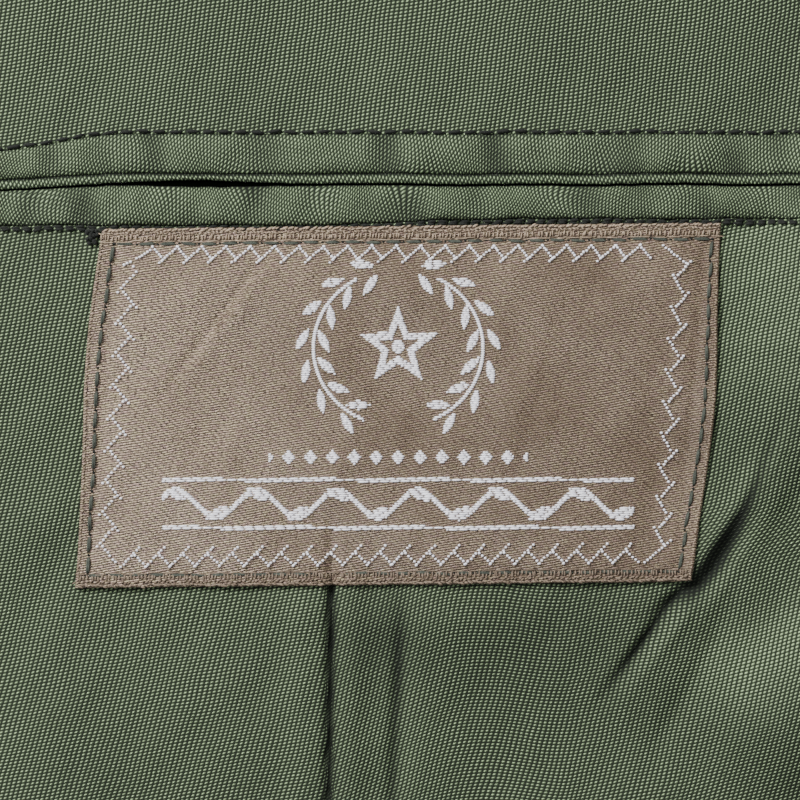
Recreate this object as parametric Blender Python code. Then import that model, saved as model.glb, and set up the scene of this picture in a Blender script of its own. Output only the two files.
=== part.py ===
"""Officer's dress tunic, laid on its back with its left front turned open.

Sizes are in millimetres, and wall() turns them into metres. The coat lies on z = 0 with +Z up,
+Y towards the collar and +X towards the wearer's left. Own-side coordinates are those of one
front lying closed: x runs from the centre front line to that front's own side seam.
A layer's depth is counted from the outer face of a front towards the wearer, so what is sewn on
the outside of the cloth has a negative depth.
"""
import math

import bpy
import numpy as np

MM = 0.001

# --- cloth ---------------------------------------------------------------------------------
WOOL = 2.0
LINING = 1.0
FACING = 1.6
COLLAR_CLOTH = 1.5
PATCH = 1.3
LABEL = 1.0
LAPEL_FACING = 0.9
LOOP_CLOTH = 2.0
PLEAT = 0.9
SEAM = 0.3
LAYER_GAP = 0.5
LAID_GAP = 0.6
LINING_DEPTH = WOOL + LAYER_GAP

# --- cut of the body ------------------------------------------------------------------------
NECK_HALF = 75.0
NECK_DROP = 10.0
SHOULDER_X = 228.0
SHOULDER_DROP = 38.0
UNDERARM_Y = -240.0
LENGTH = 750.0
FACING_LINE_X = 44.0
FACING_LONGEST = 0.9
FACING_TOP_ROW = 0.6
FACING_WIDENS_OVER = 6.0
BACK_LINING_INSET = 13.0
BACK_LINING_HEM = 14.0
BACK_BENDS_FROM = -190.0
ARMHOLE = ((-240.0, 272.0), (-205.0, 236.0), (-165.0, 212.0), (-120.0, 205.0),
           (-75.0, 213.0), (-38.0, 228.0))
SIDE_SEAM = ((-750.0, 290.0), (-600.0, 277.0), (-430.0, 259.0), (-330.0, 262.0), (-240.0, 272.0))

# --- heights of the laid stack ----------------------------------------------------------------
BACK_TOP = WOOL
BACK_LINING_Z = BACK_TOP + SEAM
CLOSED_OUTER = 7.2
EDGE_OUTER = BACK_TOP + SEAM + WOOL
EDGE_ROLL = 10.0
EDGE_STEPS = (10.0, 4.0, 0.0)

# --- the turned left front --------------------------------------------------------------------
FOLD_HEM_X = 266.0
FOLD_BULGE = 20.0
FOLD_RADIUS = 1.5
FOLD_CLOTH = 9.4
FLAP_OVER_SLEEVE = 8.2
FLAP_OVER_FLOOR = 0.6
FLAP_SETTLES_OVER = 60.0
SAG_REACH = 150.0

# --- the rolled right lapel ----------------------------------------------------------------------
ROLL_RADIUS = 0.5
ROLL_CLOTH = 6.3
PLAIN_EDGE = (6.0, 3.0)

# --- sleeves ----------------------------------------------------------------------------------------
SLEEVE_INSIDE = 450.0
BICEP_WIDTH = 192.0
CUFF_WIDTH = 145.0
SLEEVE_WOOL = 1.8
SLEEVE_BEND = 12.0
SLEEVE_HEAD = (196.0, -46.0)
ARMHOLE_FADE = 8.0
LEFT_SLEEVE_ANGLE = 42.0
RIGHT_SLEEVE_ANGLE = 30.0
ARMHOLE_SEAM = 1.2
SLEEVE_ROWS = (0.0, 0.03, 0.07, 0.12, 0.2, 0.3, 0.4, 0.5, 0.62, 0.74, 0.87, 1.0)
SLEEVE_EDGE_STEPS = (0.0, 4.0, 10.0)
SLEEVE_FLAT = (0.14, 0.86, 8)

# --- inside pocket and label, in the label's own place: along it (p) and up it (r) -------------------
LABEL_X = 112.0
LABEL_Y = -395.0
LABEL_LONG = 90.2
LABEL_TALL = 52.6
LABEL_LEAN = 4.4
WELT_FROM = -62.0
WELT_TO = 62.0
UPPER_WELT = (33.0, 39.4)
LOWER_WELT = (26.9, 32.3)
MOUTH_AT = -30.0
MOUTH_HALF = 12.0
MOUTH_OPEN = 0.9

# --- buttons ------------------------------------------------------------------------------------------
BUTTON_RADIUS = 11.5
SMALL_BUTTON_RADIUS = 7.5
BUTTON_SIDES = 14
FRONT_BUTTON_Y = (-335.0, -432.0, -529.0, -626.0)
BREAST_FLAP_BUTTON = (153.0, -249.0)
SKIRT_FLAP_BUTTON = (152.0, -533.0)
# Share of the radius, and rise as a share of it, from the underside's middle to the crown.
BUTTON_PROFILE = ((0.0, 0.0), (0.90, 0.0), (1.0, 0.16), (1.0, 0.26), (0.86, 0.42), (0.60, 0.60),
                  (0.30, 0.70), (0.0, 0.73))

# --- patch pockets and their flaps on the right front ----------------------------------------------------
# name,                 centre, width,    top,   tall, point
PATCHES = (
    ("breast_pocket",      153.0, 118.0, -216.0, 134.0,  0.0),
    ("breast_pocket_flap", 153.0, 120.0, -206.0,  40.0, 16.0),
    ("skirt_pocket",       152.0, 168.0, -492.0, 190.0,  0.0),
    ("skirt_pocket_flap",  152.0, 171.0, -481.0,  62.0,  6.0),
)
PATCH_COLUMNS = (-0.5, -0.47, -0.3, -0.12, -0.1, 0.0, 0.1, 0.12, 0.3, 0.47, 0.5)
PATCH_ROWS = 5
PLEAT_REACH = 0.11

# --- shoulder loop ------------------------------------------------------------------------------------------
LOOP_FROM = (216.0, -76.0)
LOOP_TO = (160.0, -62.0)
LOOP_WIDTH = 46.0
LOOP_NARROWS = 10.0
LOOP_TIP = 0.25
LOOP_TIP_FROM = 0.95
LOOP_BUTTON_INSET = 14.0

CENTRE_SHIFT = (-29.2, 334.1)

# Rows of a front from shoulder to hem: its free edge, and the height where it meets the side.
FRONT_ROWS = (
    # name,         edge_x, edge_y, side_y
    ("shoulder",      63.0,   -4.0,  -38.0),
    ("upper gorge",   38.0,  -34.0,  -62.0),
    ("gorge",          0.0,  -57.0,  -92.0),
    ("notch",        -40.0,  -80.0, -122.0),
    ("lapel tip",    -62.0, -101.0, -150.0),
    ("lapel belly",  -60.0, -160.0, -190.0),
    ("chest",        -46.0, -220.0, -218.0),
    ("underarm",     -31.0, -275.0, -240.0),
    ("break",        -20.0, -325.0, -300.0),
    ("pocket",       -20.0, -345.0, -345.0),
    ("under label",  -20.0, -445.0, -445.0),
    ("hem",          -20.0, -750.0, -750.0),
)
BREAK_ROW = 8

# Soft folds of the front lining: a ridge from one point to another, by the label's place.
LINING_FOLDS = (
    # name,             p_from, r_from, p_to,  r_to, half_width, height
    ("deep fold",         68.0,    5.0,  42.0, -48.0,     6.0,     2.8),
    ("outer fold",        71.0,  -16.0,  53.0, -54.0,     5.5,     2.0),
    ("right rise",        73.0,   36.0,  62.0,  -6.0,    12.0,     3.4),
    ("tuck, left lip",   -14.0,  -30.0, -15.0, -60.0,     4.5,     1.5),
    ("tuck, right lip",    6.0,  -30.0,   7.0, -58.0,     4.5,     1.3),
    ("long crease",      -56.0,  -40.0, -40.0, -150.0,   14.0,     2.6),
    ("skirt crease",      20.0,  -90.0,  30.0, -290.0,   18.0,     3.2),
    ("side crease",      -90.0, -120.0, -70.0, -300.0,   20.0,     3.0),
)
FOLD_FADE = 8.0
TURN_FADE = 12.0

# Collar, from the right gorge round the neck to the left end: seam, roll and free edge.
COLLAR_STATIONS = (
    # name,             seam x, y, z             roll x, y, z             edge x, y, z
    ("right end",       -118.5, -119.5,  8.8,    -133.0, -111.0,  9.4,    -162.0,  -97.0,  8.3),
    ("right gorge",      -95.0,  -81.0,  8.8,    -109.0,  -72.0, 12.0,    -151.0,  -58.0,  8.3),
    ("right roll",       -76.0,  -46.0,  8.8,     -86.0,  -38.0, 21.0,    -134.0,  -26.0,  8.4),
    ("right shoulder",   -70.0,  -20.0,  8.6,     -80.0,   -8.0, 28.0,    -128.0,   13.0,  3.0),
    ("right neck",       -67.0,   -1.0,  6.4,     -76.0,   11.0, 29.0,    -104.0,   51.0,  0.4),
    ("right back",       -42.0,   -7.4,  4.0,     -46.0,   12.0, 27.0,     -61.0,   66.0,  0.4),
    ("centre back",        0.0,  -12.0,  4.0,       0.0,   10.0, 24.0,      -2.0,   71.0,  0.4),
    ("left back",         40.0,   -8.6,  4.4,      42.0,   16.0, 18.0,      48.0,   75.0,  0.4),
    ("left neck",         80.5,    3.2, 10.0,      81.0,   27.0, 14.5,      86.0,   78.5,  0.6),
    ("left turn",         98.8,   -4.4, 10.6,      99.5,   21.0, 12.6,     104.0,   75.0,  0.6),
    ("left shoulder",    116.8,  -11.7, 10.7,     117.5,   16.0, 11.4,     122.0,   71.0,  0.7),
    ("left gorge",       160.0,  -14.5, 10.7,     163.0,   12.0, 10.4,     169.0,   65.0,  0.8),
    ("left end",         204.0,  -15.6, 10.7,     208.0,   10.0, 10.2,     221.0,   56.0,  0.8),
)
COLLAR_ROWS = 33
COLLAR_COLUMNS = (0.0, 0.12, 0.24, 0.36, 0.5, 0.75, 1.0)
COLLAR_SPREAD = 0.75
COLLAR_STEP = 1e-3


def clear_scene():
    """Remove whatever the scene starts with."""
    for item in list(bpy.data.objects):
        bpy.data.objects.remove(item, do_unlink=True)


def cloth_material(name, colour, roughness, metallic=0.0):
    """Return a Principled material of one colour."""
    material = bpy.data.materials.new(name)
    material.use_nodes = True
    shader = material.node_tree.nodes["Principled BSDF"]
    shader.inputs["Base Color"].default_value = (*colour, 1.0)
    shader.inputs["Roughness"].default_value = roughness
    shader.inputs["Metallic"].default_value = metallic
    return material


def soft_step(value):
    """Rise smoothly from 0 to 1 as value goes from 0 to 1."""
    value = np.clip(value, 0.0, 1.0)
    return value * value * (3.0 - 2.0 * value)


def smooth_table(at, known_at, known):
    """Read a curve through known points, with slopes taken from each point's neighbours."""
    known_at = np.asarray(known_at, float)
    known = np.asarray(known, float)
    at = np.clip(np.asarray(at, float), known_at[0], known_at[-1])
    slope = np.gradient(known, known_at)
    left = np.clip(np.searchsorted(known_at, at, side="right") - 1, 0, len(known_at) - 2)
    span = known_at[left + 1] - known_at[left]
    t = (at - known_at[left]) / span
    rise = known[left] * (1 + 2 * t) * (1 - t) ** 2 + known[left + 1] * t * t * (3 - 2 * t)
    return rise + span * (slope[left] * t * (1 - t) ** 2 - slope[left + 1] * t * t * (1 - t))


# --- solids from grids ------------------------------------------------------------------------------------

def wall(name, material, lower, upper):
    """Make one closed cloth wall between two grids of points, rows by columns by xyz."""
    rows, columns = upper.shape[:2]
    shift = np.array([CENTRE_SHIFT[0], CENTRE_SHIFT[1], 0.0])
    points = (np.concatenate([lower.reshape(-1, 3), upper.reshape(-1, 3)]) + shift) * MM
    index = np.arange(rows * columns).reshape(rows, columns)
    top = index + rows * columns
    faces = []
    for r in range(rows - 1):
        for c in range(columns - 1):
            faces.append((top[r, c], top[r, c + 1], top[r + 1, c + 1], top[r + 1, c]))
            faces.append((index[r, c], index[r + 1, c], index[r + 1, c + 1], index[r, c + 1]))
    rim = [index[0, c] for c in range(columns)]
    rim += [index[r, -1] for r in range(1, rows)]
    rim += [index[-1, c] for c in range(columns - 2, -1, -1)]
    rim += [index[r, 0] for r in range(rows - 2, 0, -1)]
    offset = rows * columns
    for start, end in zip(rim, rim[1:] + rim[:1]):
        faces.append((start, end, end + offset, start + offset))
    return solid(name, material, points, faces)


def solid(name, material, points, faces):
    """Make an object of a closed mesh, its faces turned outwards and shaded smooth."""
    triangles = []
    for face in faces:
        for k in range(1, len(face) - 1):
            triangles.append((face[0], face[k], face[k + 1]))
    corners = np.asarray(points)[np.array(triangles)]
    volume = np.einsum("ij,ij->i", corners[:, 0], np.cross(corners[:, 1], corners[:, 2])).sum()
    if volume < 0.0:
        faces = [tuple(reversed(face)) for face in faces]
    mesh = bpy.data.meshes.new(name)
    mesh.from_pydata([tuple(map(float, p)) for p in points], [],
                     [tuple(map(int, f)) for f in faces])
    mesh.shade_smooth()
    mesh.set_sharp_from_angle(angle=math.radians(40.0))
    mesh.materials.append(material)
    item = bpy.data.objects.new(name, mesh)
    bpy.context.scene.collection.objects.link(item)
    return item


def stack(x, y, z):
    """Join three equal grids into one grid of points."""
    x, y, z = np.broadcast_arrays(x, y, z)
    return np.stack([x, y, z], axis=-1).astype(float)


# --- the outline of the body --------------------------------------------------------------------------------

def outline_x(y):
    """Distance from the centre to the armhole or the side seam at a height."""
    arm_y, arm_x = zip(*ARMHOLE)
    side_y, side_x = zip(*SIDE_SEAM)
    above = smooth_table(y, arm_y, arm_x)
    below = smooth_table(y, side_y, side_x)
    return np.where(np.asarray(y) > UNDERARM_Y, above, below)


def shoulder_y(x):
    """Height of the shoulder seam, and of the back neck curve between the shoulders."""
    x = np.abs(x)
    slope = SHOULDER_DROP / (SHOULDER_X - NECK_HALF)
    neck = -NECK_DROP * (1.0 - np.minimum(x / NECK_HALF, 1.0) ** 2)
    return np.where(x > NECK_HALF, -(x - NECK_HALF) * slope, neck)


def closed_outer(x, y):
    """Height of a closed front's outer face: it rolls down to the back at its own seams."""
    corner_x = float(outline_x(UNDERARM_Y))
    to_side = np.where(y < UNDERARM_Y, outline_x(y) - x, np.hypot(x - corner_x, y - UNDERARM_Y))
    to_shoulder = np.where(x > NECK_HALF, shoulder_y(x) - y, shoulder_y(NECK_HALF) - y)
    nearest = np.minimum(to_side, to_shoulder)
    return EDGE_OUTER + (CLOSED_OUTER - EDGE_OUTER) * soft_step(nearest / EDGE_ROLL)


# --- sleeves' place, which the turned front also lies on ---------------------------------------------------------

def sleeve_axes(angle):
    """Direction down a sleeve and the direction across it, outwards."""
    turn = math.radians(angle)
    return np.array([math.sin(turn), -math.cos(turn)]), np.array([math.cos(turn), math.sin(turn)])


def beyond_left_sleeve(x, y):
    """How far a point lies short of the left sleeve, on the body's side, 0 on it."""
    across = sleeve_axes(LEFT_SLEEVE_ANGLE)[1]
    from_underarm = np.stack([x - float(outline_x(UNDERARM_Y)), y - UNDERARM_Y], axis=-1)
    return np.maximum(-(from_underarm @ across), 0.0)


def flap_outer(x, y):
    """Height of the turned front's outer face, which looks down on what it lies on."""
    beyond_body = np.maximum(x - outline_x(np.minimum(y, UNDERARM_Y)), 0.0)
    over_body = CLOSED_OUTER + 2.0 * FOLD_RADIUS
    held = over_body + (FLAP_OVER_SLEEVE - over_body) * soft_step(beyond_body / FLAP_SETTLES_OVER)
    sag = soft_step(beyond_body / SAG_REACH) * soft_step(beyond_left_sleeve(x, y) / SAG_REACH)
    return FLAP_OVER_FLOOR + (held - FLAP_OVER_FLOOR) * (1.0 - sag)


# --- a front that turns over a line -------------------------------------------------------------------------------

class TurnLine:
    """A line over which a front turns back on itself, and the size of its roll."""

    def __init__(self, start, end, bulge, radius, cloth, height):
        self.start = np.array(start)
        self.length = math.dist(start, end)
        self.along = (np.array(end) - self.start) / self.length
        self.out = np.array([-self.along[1], self.along[0]])
        self.bulge = bulge
        self.radius = radius
        self.cloth = cloth
        self.height = height

    def measure(self, x, y):
        """Place along the line, and distance beyond it towards the side seam."""
        rel = np.stack([x - self.start[0], y - self.start[1]], axis=-1)
        along = rel @ self.along
        swell = np.sin(math.pi * np.clip(along / self.length, 0.0, 1.0)) ** 2
        return along, rel @ self.out - self.bulge * swell, self.bulge * swell

    def place(self, x, y, depth):
        """Turn points of a closed front over the line, at a depth from its outer face."""
        along, beyond, swell = self.measure(x, y)
        turned = np.clip(-beyond / self.cloth, 0.0, 1.0)
        past = np.maximum(-beyond - self.cloth, 0.0)
        angle = math.pi * turned
        level = np.where(beyond > 0.0, beyond, past)
        side = level - (self.radius + depth) * np.sin(angle) + swell
        plan = self.start + along[..., None] * self.along + side[..., None] * self.out
        below = closed_outer(np.where(beyond > 0.0, x, plan[..., 0]), plan[..., 1])
        above = self.height(plan[..., 0], plan[..., 1])
        half = 0.5 * (above - below)
        z = 0.5 * (above + below) - (half + depth) * np.cos(angle)
        return stack(plan[..., 0], plan[..., 1], z)


def lapel_outer(x, y):
    """Height of the rolled lapel's outer face above the right front."""
    return closed_outer(x, y) + 2.0 * ROLL_RADIUS


LEFT_TURN = TurnLine((NECK_HALF, 0.0), (FOLD_HEM_X, -LENGTH), FOLD_BULGE, FOLD_RADIUS,
                     FOLD_CLOTH, flap_outer)
RIGHT_TURN = TurnLine((FRONT_ROWS[0][1], FRONT_ROWS[0][2]),
                      (FRONT_ROWS[BREAK_ROW][1], FRONT_ROWS[BREAK_ROW][2]),
                      0.0, ROLL_RADIUS, ROLL_CLOTH, lapel_outer)


def front_row(at):
    """Free-edge point and side point of the front at a row number, whole or between."""
    number = np.arange(len(FRONT_ROWS))
    edge_x, edge_y, side_y = (np.interp(at, number, [row[k] for row in FRONT_ROWS])
                              for k in (1, 2, 3))
    return (edge_x, edge_y), (float(outline_x(side_y)), side_y)


def row_point(at, t):
    """Points along a front row, from 0 at the free edge to 1 at the side."""
    edge, side = front_row(at)
    return edge[0] + (side[0] - edge[0]) * t, edge[1] + (side[1] - edge[1]) * t


def crossing(turn, at, beyond):
    """How far along a row it lies a given distance beyond the turn line, or None."""
    t = np.linspace(0.0, 1.0, 400)
    x, y = row_point(at, t)
    distance = turn.measure(x, y)[1]
    if distance[0] > beyond - 1.0:
        return None
    return float(np.interp(beyond, distance, t))


def row_length(at):
    """Length of a front row in millimetres."""
    edge, side = front_row(at)
    return math.dist(edge, side)


def stretch(start, end, pieces):
    """Evenly spaced values from start up to but not including end."""
    return list(np.linspace(start, end, pieces + 1)[:-1])


def turned_columns(turn, at, before, bend, after):
    """Row fractions with columns along the turn, and whether this row turns."""
    first = crossing(turn, at, -turn.cloth)
    second = crossing(turn, at, 0.0)
    turns = first is not None and second is not None
    if not turns:
        first = PLAIN_EDGE[1] / row_length(at)
        second = PLAIN_EDGE[0] / row_length(at)
    close = [1.0 - step / row_length(at) for step in EDGE_STEPS]
    if close[0] < second + 0.01:
        close = list(np.linspace(second, 1.0, len(close) + 1)[1:])
    body = stretch(second, close[0], after)
    return stretch(0.0, first, before) + stretch(first, second, bend) + body + close, turns


def front_grid(turn, row_numbers, before, bend, after, depth, only=slice(None)):
    """Grid of a front's points at a depth, over its turn line."""
    rows = []
    for at in row_numbers:
        t, turns = turned_columns(turn, at, before, bend, after)
        x, y = row_point(at, np.array(t[only]))
        if turns:
            rows.append(turn.place(x, y, depth))
        else:
            rows.append(stack(x, y, closed_outer(x, y) - depth))
    return np.array(rows)


def mirrored(grid):
    """The same points on the wearer's right."""
    return grid * np.array([-1.0, 1.0, 1.0])


# --- body pieces ---------------------------------------------------------------------------------------------------

BACK_HEIGHTS = (-38.0, -57.0, -76.0, -96.0, -118.0, -141.0, -165.0, -185.0, -205.0, -223.0,
                -240.0, -300.0, -380.0, -470.0, -560.0, -655.0)
BACK_SHARES = (0.0, 0.13, 0.24, (NECK_HALF + 4.0) / SHOULDER_X, 0.5, 0.68, 0.84, 0.95, 1.0)


def back_grid(z, inset, hem_inset):
    """Grid of the back at one height, drawn in from its seams and hem."""
    heights = (*BACK_HEIGHTS, hem_inset - LENGTH)
    bend = -SHOULDER_DROP - BACK_BENDS_FROM
    follow = np.clip((np.array(heights) - BACK_BENDS_FROM) / bend, 0.0, 1.0)
    shares = np.array(BACK_SHARES)
    shares = np.concatenate([-shares[:0:-1], shares])
    rows = []
    for y, share in zip(heights, follow):
        half = float(outline_x(y)) - inset
        line = y + share * (shoulder_y(shares * SHOULDER_X) + SHOULDER_DROP - inset)
        rows.append(stack(shares * half, line, z))
    return np.array(rows)


def make_back(wool, lining):
    """The back, flat on the surface, and the back lining on it."""
    wall("back", wool, back_grid(0.0, SEAM, 0.0), back_grid(BACK_TOP, SEAM, 0.0))
    wall("back_lining", lining, back_grid(BACK_LINING_Z, BACK_LINING_INSET, BACK_LINING_HEM),
         back_grid(BACK_LINING_Z + LINING, BACK_LINING_INSET, BACK_LINING_HEM))


SHELL_ROWS = (0.0, 0.15, 0.4, 1.0, 1.6, 2.3, 3.0, 3.5, 4.0, 4.5, 5.0, 5.5, 6.0, 6.5, 7.0, 7.5,
              7.85, 8.0, 9.0, 9.33, 9.67, 10.0, 10.17, 10.33, 10.5, 10.67, 10.83, 11.0)
LEFT_SHELL = dict(before=10, bend=5, after=3)
RIGHT_SHELL = dict(before=3, bend=3, after=5)


def make_fronts(wool):
    """Both fronts: the left turned open over its long fold, the right closed, its lapel rolled."""
    for name, turn, shape, place in (("front_left", LEFT_TURN, LEFT_SHELL, np.asarray),
                                     ("front_right", RIGHT_TURN, RIGHT_SHELL, mirrored)):
        outer = place(front_grid(turn, SHELL_ROWS, depth=0.0, **shape))
        inner = place(front_grid(turn, SHELL_ROWS, depth=WOOL, **shape))
        wall(name, wool, outer, inner)


def facing_line(at):
    """How far along a left row the facing ends: it narrows to the neck."""
    edge, side = front_row(at)
    wanted = (FACING_LINE_X - edge[0]) / (side[0] - edge[0])
    fold_end = crossing(LEFT_TURN, at, -LEFT_TURN.cloth)
    longest = fold_end * FACING_LONGEST
    top = soft_step((at - FACING_TOP_ROW) / FACING_WIDENS_OVER)
    return longest * (1.0 - top) + min(wanted, longest) * top


LINING_ROWS = (1.0, 1.6, 2.3, 3.0, 4.0, 4.6, 5.3, 6.0, 6.6, 7.0, 7.5, 8.0, 9.0, 9.12, 9.24, 9.36,
               9.48, 9.6, 9.68, 9.76, 9.84, 9.92, 10.0, 10.06, 10.12, 10.2, 10.3, 10.42, 10.56,
               10.7, 10.83, 10.945)
FACING_ROWS = (FACING_TOP_ROW, *LINING_ROWS, 10.975)
FACING_COLUMNS = 3


def make_facing_left(wool):
    """Wool facing along the inside of the turned front, from the gorge to the hem."""
    lower, upper = [], []
    for at in FACING_ROWS:
        end = facing_line(at) - 0.5 * SEAM / row_length(at)
        x, y = row_point(at, np.linspace(0.0, end, FACING_COLUMNS + 1))
        lower.append(LEFT_TURN.place(x, y, LINING_DEPTH))
        upper.append(LEFT_TURN.place(x, y, LINING_DEPTH + FACING))
    wall("facing_left", wool, np.array(lower), np.array(upper))


LAPEL_FACING_ROWS = (0.9, 7.6)


def make_facing_right(wool):
    """Wool facing of the rolled right lapel, with the strip that passes under the front."""
    first, last = LAPEL_FACING_ROWS
    rows = [at for at in SHELL_ROWS if first < at < last]
    strip = slice(0, RIGHT_SHELL["before"] + RIGHT_SHELL["bend"] + 2)
    shape = dict(RIGHT_SHELL, only=strip)
    lower = mirrored(front_grid(RIGHT_TURN, rows, depth=LINING_DEPTH, **shape))
    upper = mirrored(front_grid(RIGHT_TURN, rows, depth=LINING_DEPTH + LAPEL_FACING, **shape))
    wall("facing_right", wool, lower, upper)


# --- front lining, its folds and what is sewn on it ----------------------------------------------------------------------

def fold_height(x, y):
    """How far the lining stands off its cloth, as rounded ridges that fade at both ends."""
    p, r = LABEL_X - x, y - LABEL_Y
    height = np.zeros(np.shape(p))
    for _, p0, r0, p1, r1, half_width, tall in LINING_FOLDS:
        length = math.dist((p0, r0), (p1, r1))
        along = ((p - p0) * (p1 - p0) + (r - r0) * (r1 - r0)) / length
        across = ((p - p0) * (r1 - r0) - (r - r0) * (p1 - p0)) / length
        ends = (soft_step((along + FOLD_FADE) / (2.0 * FOLD_FADE))
                * soft_step((length + FOLD_FADE - along) / (2.0 * FOLD_FADE)))
        height = height + tall * ends * np.exp(-(across / half_width) ** 2)
    beyond = LEFT_TURN.measure(x, y)[1]
    return height * soft_step((-beyond - LEFT_TURN.cloth) / TURN_FADE)


LINING_FLAP_COLUMNS = 14
LINING_BEND_COLUMNS = 6
LINING_UNDER = 3
LINING_SIDE_INSET = 12.0


def make_front_lining(lining):
    """Lining of the turned front: from the facing, round the fold, to the side seam below."""
    lower, upper = [], []
    for at in LINING_ROWS:
        start = facing_line(at) + 0.5 * SEAM / row_length(at)
        bend_from = crossing(LEFT_TURN, at, -LEFT_TURN.cloth)
        bend_to = crossing(LEFT_TURN, at, 0.0)
        end = max(1.0 - LINING_SIDE_INSET / row_length(at), bend_to + 6.0 / row_length(at))
        t = (stretch(start, bend_from, LINING_FLAP_COLUMNS)
             + stretch(bend_from, bend_to, LINING_BEND_COLUMNS)
             + stretch(bend_to, end, LINING_UNDER) + [end])
        x, y = row_point(at, np.array(t))
        lift = fold_height(x, y)
        for grid, depth in ((lower, LINING_DEPTH), (upper, LINING_DEPTH + LINING)):
            points = LEFT_TURN.place(x, y, depth)
            points[..., 2] += lift
            grid.append(points)
    wall("front_lining_left", lining, np.array(lower), np.array(upper))


def on_lining(p, r, height):
    """Points over the front lining, at the label's place and a height above the cloth."""
    x, y = LABEL_X - p, LABEL_Y + r
    points = LEFT_TURN.place(x, y, LINING_DEPTH + LINING + height)
    points[..., 2] += fold_height(x, y)
    return points


def mouth_gap(p):
    """Half the gap between the two welts: shut but for one slack place."""
    return 0.35 + MOUTH_OPEN * np.exp(-((p - MOUTH_AT) / MOUTH_HALF) ** 2)


def make_inside_pocket(lining):
    """Two narrow welts along the mouth of the inside pocket."""
    p = np.linspace(WELT_FROM, WELT_TO, 15)
    for name, (low, high), toward in (("inside_welt_upper", UPPER_WELT, 0),
                                      ("inside_welt_lower", LOWER_WELT, 1)):
        share = np.array([0.0, 0.5, 1.0])[:, None]
        bottom = low + (mouth_gap(p) if toward == 0 else 0.0)
        top = high - (mouth_gap(p) if toward == 1 else 0.0)
        r = bottom + (top - bottom) * share
        crown = 0.5 * (1.0 - (2.0 * share - 1.0) ** 2)
        wall(name, lining, on_lining(p + 0.0 * r, r, LAID_GAP),
             on_lining(p + 0.0 * r, r, LAID_GAP + PATCH + crown))


def make_label(tape):
    """Woven label below the pocket mouth, a slightly leaning oblong."""
    along = np.linspace(-0.5, 0.5, 15)[None, :]
    up = np.linspace(-0.5, 0.5, 9)[:, None]
    p = LABEL_LONG * along + LABEL_LEAN * up
    r = LABEL_TALL * up + 0.0 * along
    wall("label", tape, on_lining(p, r, LAID_GAP), on_lining(p, r, LAID_GAP + LABEL))


# --- sleeves -------------------------------------------------------------------------------------------------------------------

def sleeve_plan(angle, across_share, along_share):
    """Plan of a sleeve: an outer edge that curves over the sleeve head, an inner edge from the
    underarm, straight lines between them, and the armhole's own curve at the top."""
    down, across = sleeve_axes(angle)
    shoulder = np.array([SHOULDER_X + ARMHOLE_SEAM, -SHOULDER_DROP])
    underarm = np.array([float(outline_x(UNDERARM_Y)) + ARMHOLE_SEAM, UNDERARM_Y])
    cuff_inner = underarm + SLEEVE_INSIDE * down
    cuff_outer = cuff_inner + CUFF_WIDTH * across
    head = shoulder + np.array(SLEEVE_HEAD)
    l = along_share[..., None]
    outer = shoulder * (1 - l) ** 2 + 2.0 * head * l * (1 - l) + cuff_outer * l * l
    elbow = SLEEVE_BEND * 4.0 * l * (1.0 - l) * across
    inner = underarm + (cuff_inner - underarm) * l + elbow
    share = across_share[..., None]
    arm_y = -SHOULDER_DROP + (UNDERARM_Y + SHOULDER_DROP) * across_share
    chord = shoulder[0] + (underarm[0] - shoulder[0]) * across_share
    dip = (outline_x(arm_y) + ARMHOLE_SEAM - chord) * (1.0 - along_share) ** ARMHOLE_FADE
    return outer * (1.0 - share) + inner * share + np.stack([dip, 0.0 * dip], axis=-1)


def make_sleeve(side, place, angle, wool):
    """Upper and under sleeve: two walls that meet along both folded edges."""
    along = np.array(SLEEVE_ROWS)
    widths = BICEP_WIDTH + (CUFF_WIDTH - BICEP_WIDTH) * along
    steps = np.array(SLEEVE_EDGE_STEPS)
    flat = np.linspace(*SLEEVE_FLAT)
    share = np.array([np.concatenate([steps / w, flat, 1.0 - steps[::-1] / w]) for w in widths])
    plan = sleeve_plan(angle, share, along[:, None] + 0.0 * share)
    to_edge = np.minimum(share, 1.0 - share) * widths[:, None]
    low = BACK_TOP + SEAM
    inner = low + (CLOSED_OUTER - WOOL - low) * soft_step(to_edge / EDGE_ROLL)
    x, y = plan[..., 0], plan[..., 1]
    wall("sleeve_upper_" + side, wool, place(stack(x, y, inner)),
         place(stack(x, y, inner + SLEEVE_WOOL)))
    wall("sleeve_under_" + side, wool, place(stack(x, y, 0.0)), place(stack(x, y, SLEEVE_WOOL)))


# --- collar -----------------------------------------------------------------------------------------------------------------------

def collar_surface(along, across):
    """Points of the collar's underside: seam at 0, over the roll, free edge at 1."""
    number = np.arange(len(COLLAR_STATIONS))
    table = np.array([row[1:] for row in COLLAR_STATIONS])
    read = np.stack([smooth_table(along, number, table[:, k]) for k in range(9)], axis=-1)
    seam, roll, edge = read[..., 0:3], read[..., 3:6], read[..., 6:9]
    crest = 2.0 * roll - 0.5 * (seam + edge)
    weight = (across ** COLLAR_SPREAD)[..., None]
    return seam * (1 - weight) ** 2 + 2 * crest * weight * (1 - weight) + edge * weight ** 2


def collar_layer(along, across, height):
    """The collar's surface moved out along its normals."""
    here = collar_surface(along, across)
    ahead = collar_surface(np.minimum(along + COLLAR_STEP, len(COLLAR_STATIONS) - 1.0), across)
    behind = collar_surface(np.maximum(along - COLLAR_STEP, 0.0), across)
    out = collar_surface(along, np.minimum(across + COLLAR_STEP, 1.0))
    back = collar_surface(along, np.maximum(across - COLLAR_STEP, 0.0))
    normal = np.cross(ahead - behind, out - back)
    normal /= np.linalg.norm(normal, axis=-1, keepdims=True)
    normal *= np.sign(normal[..., 2:3].mean())
    return here + height * normal


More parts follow.
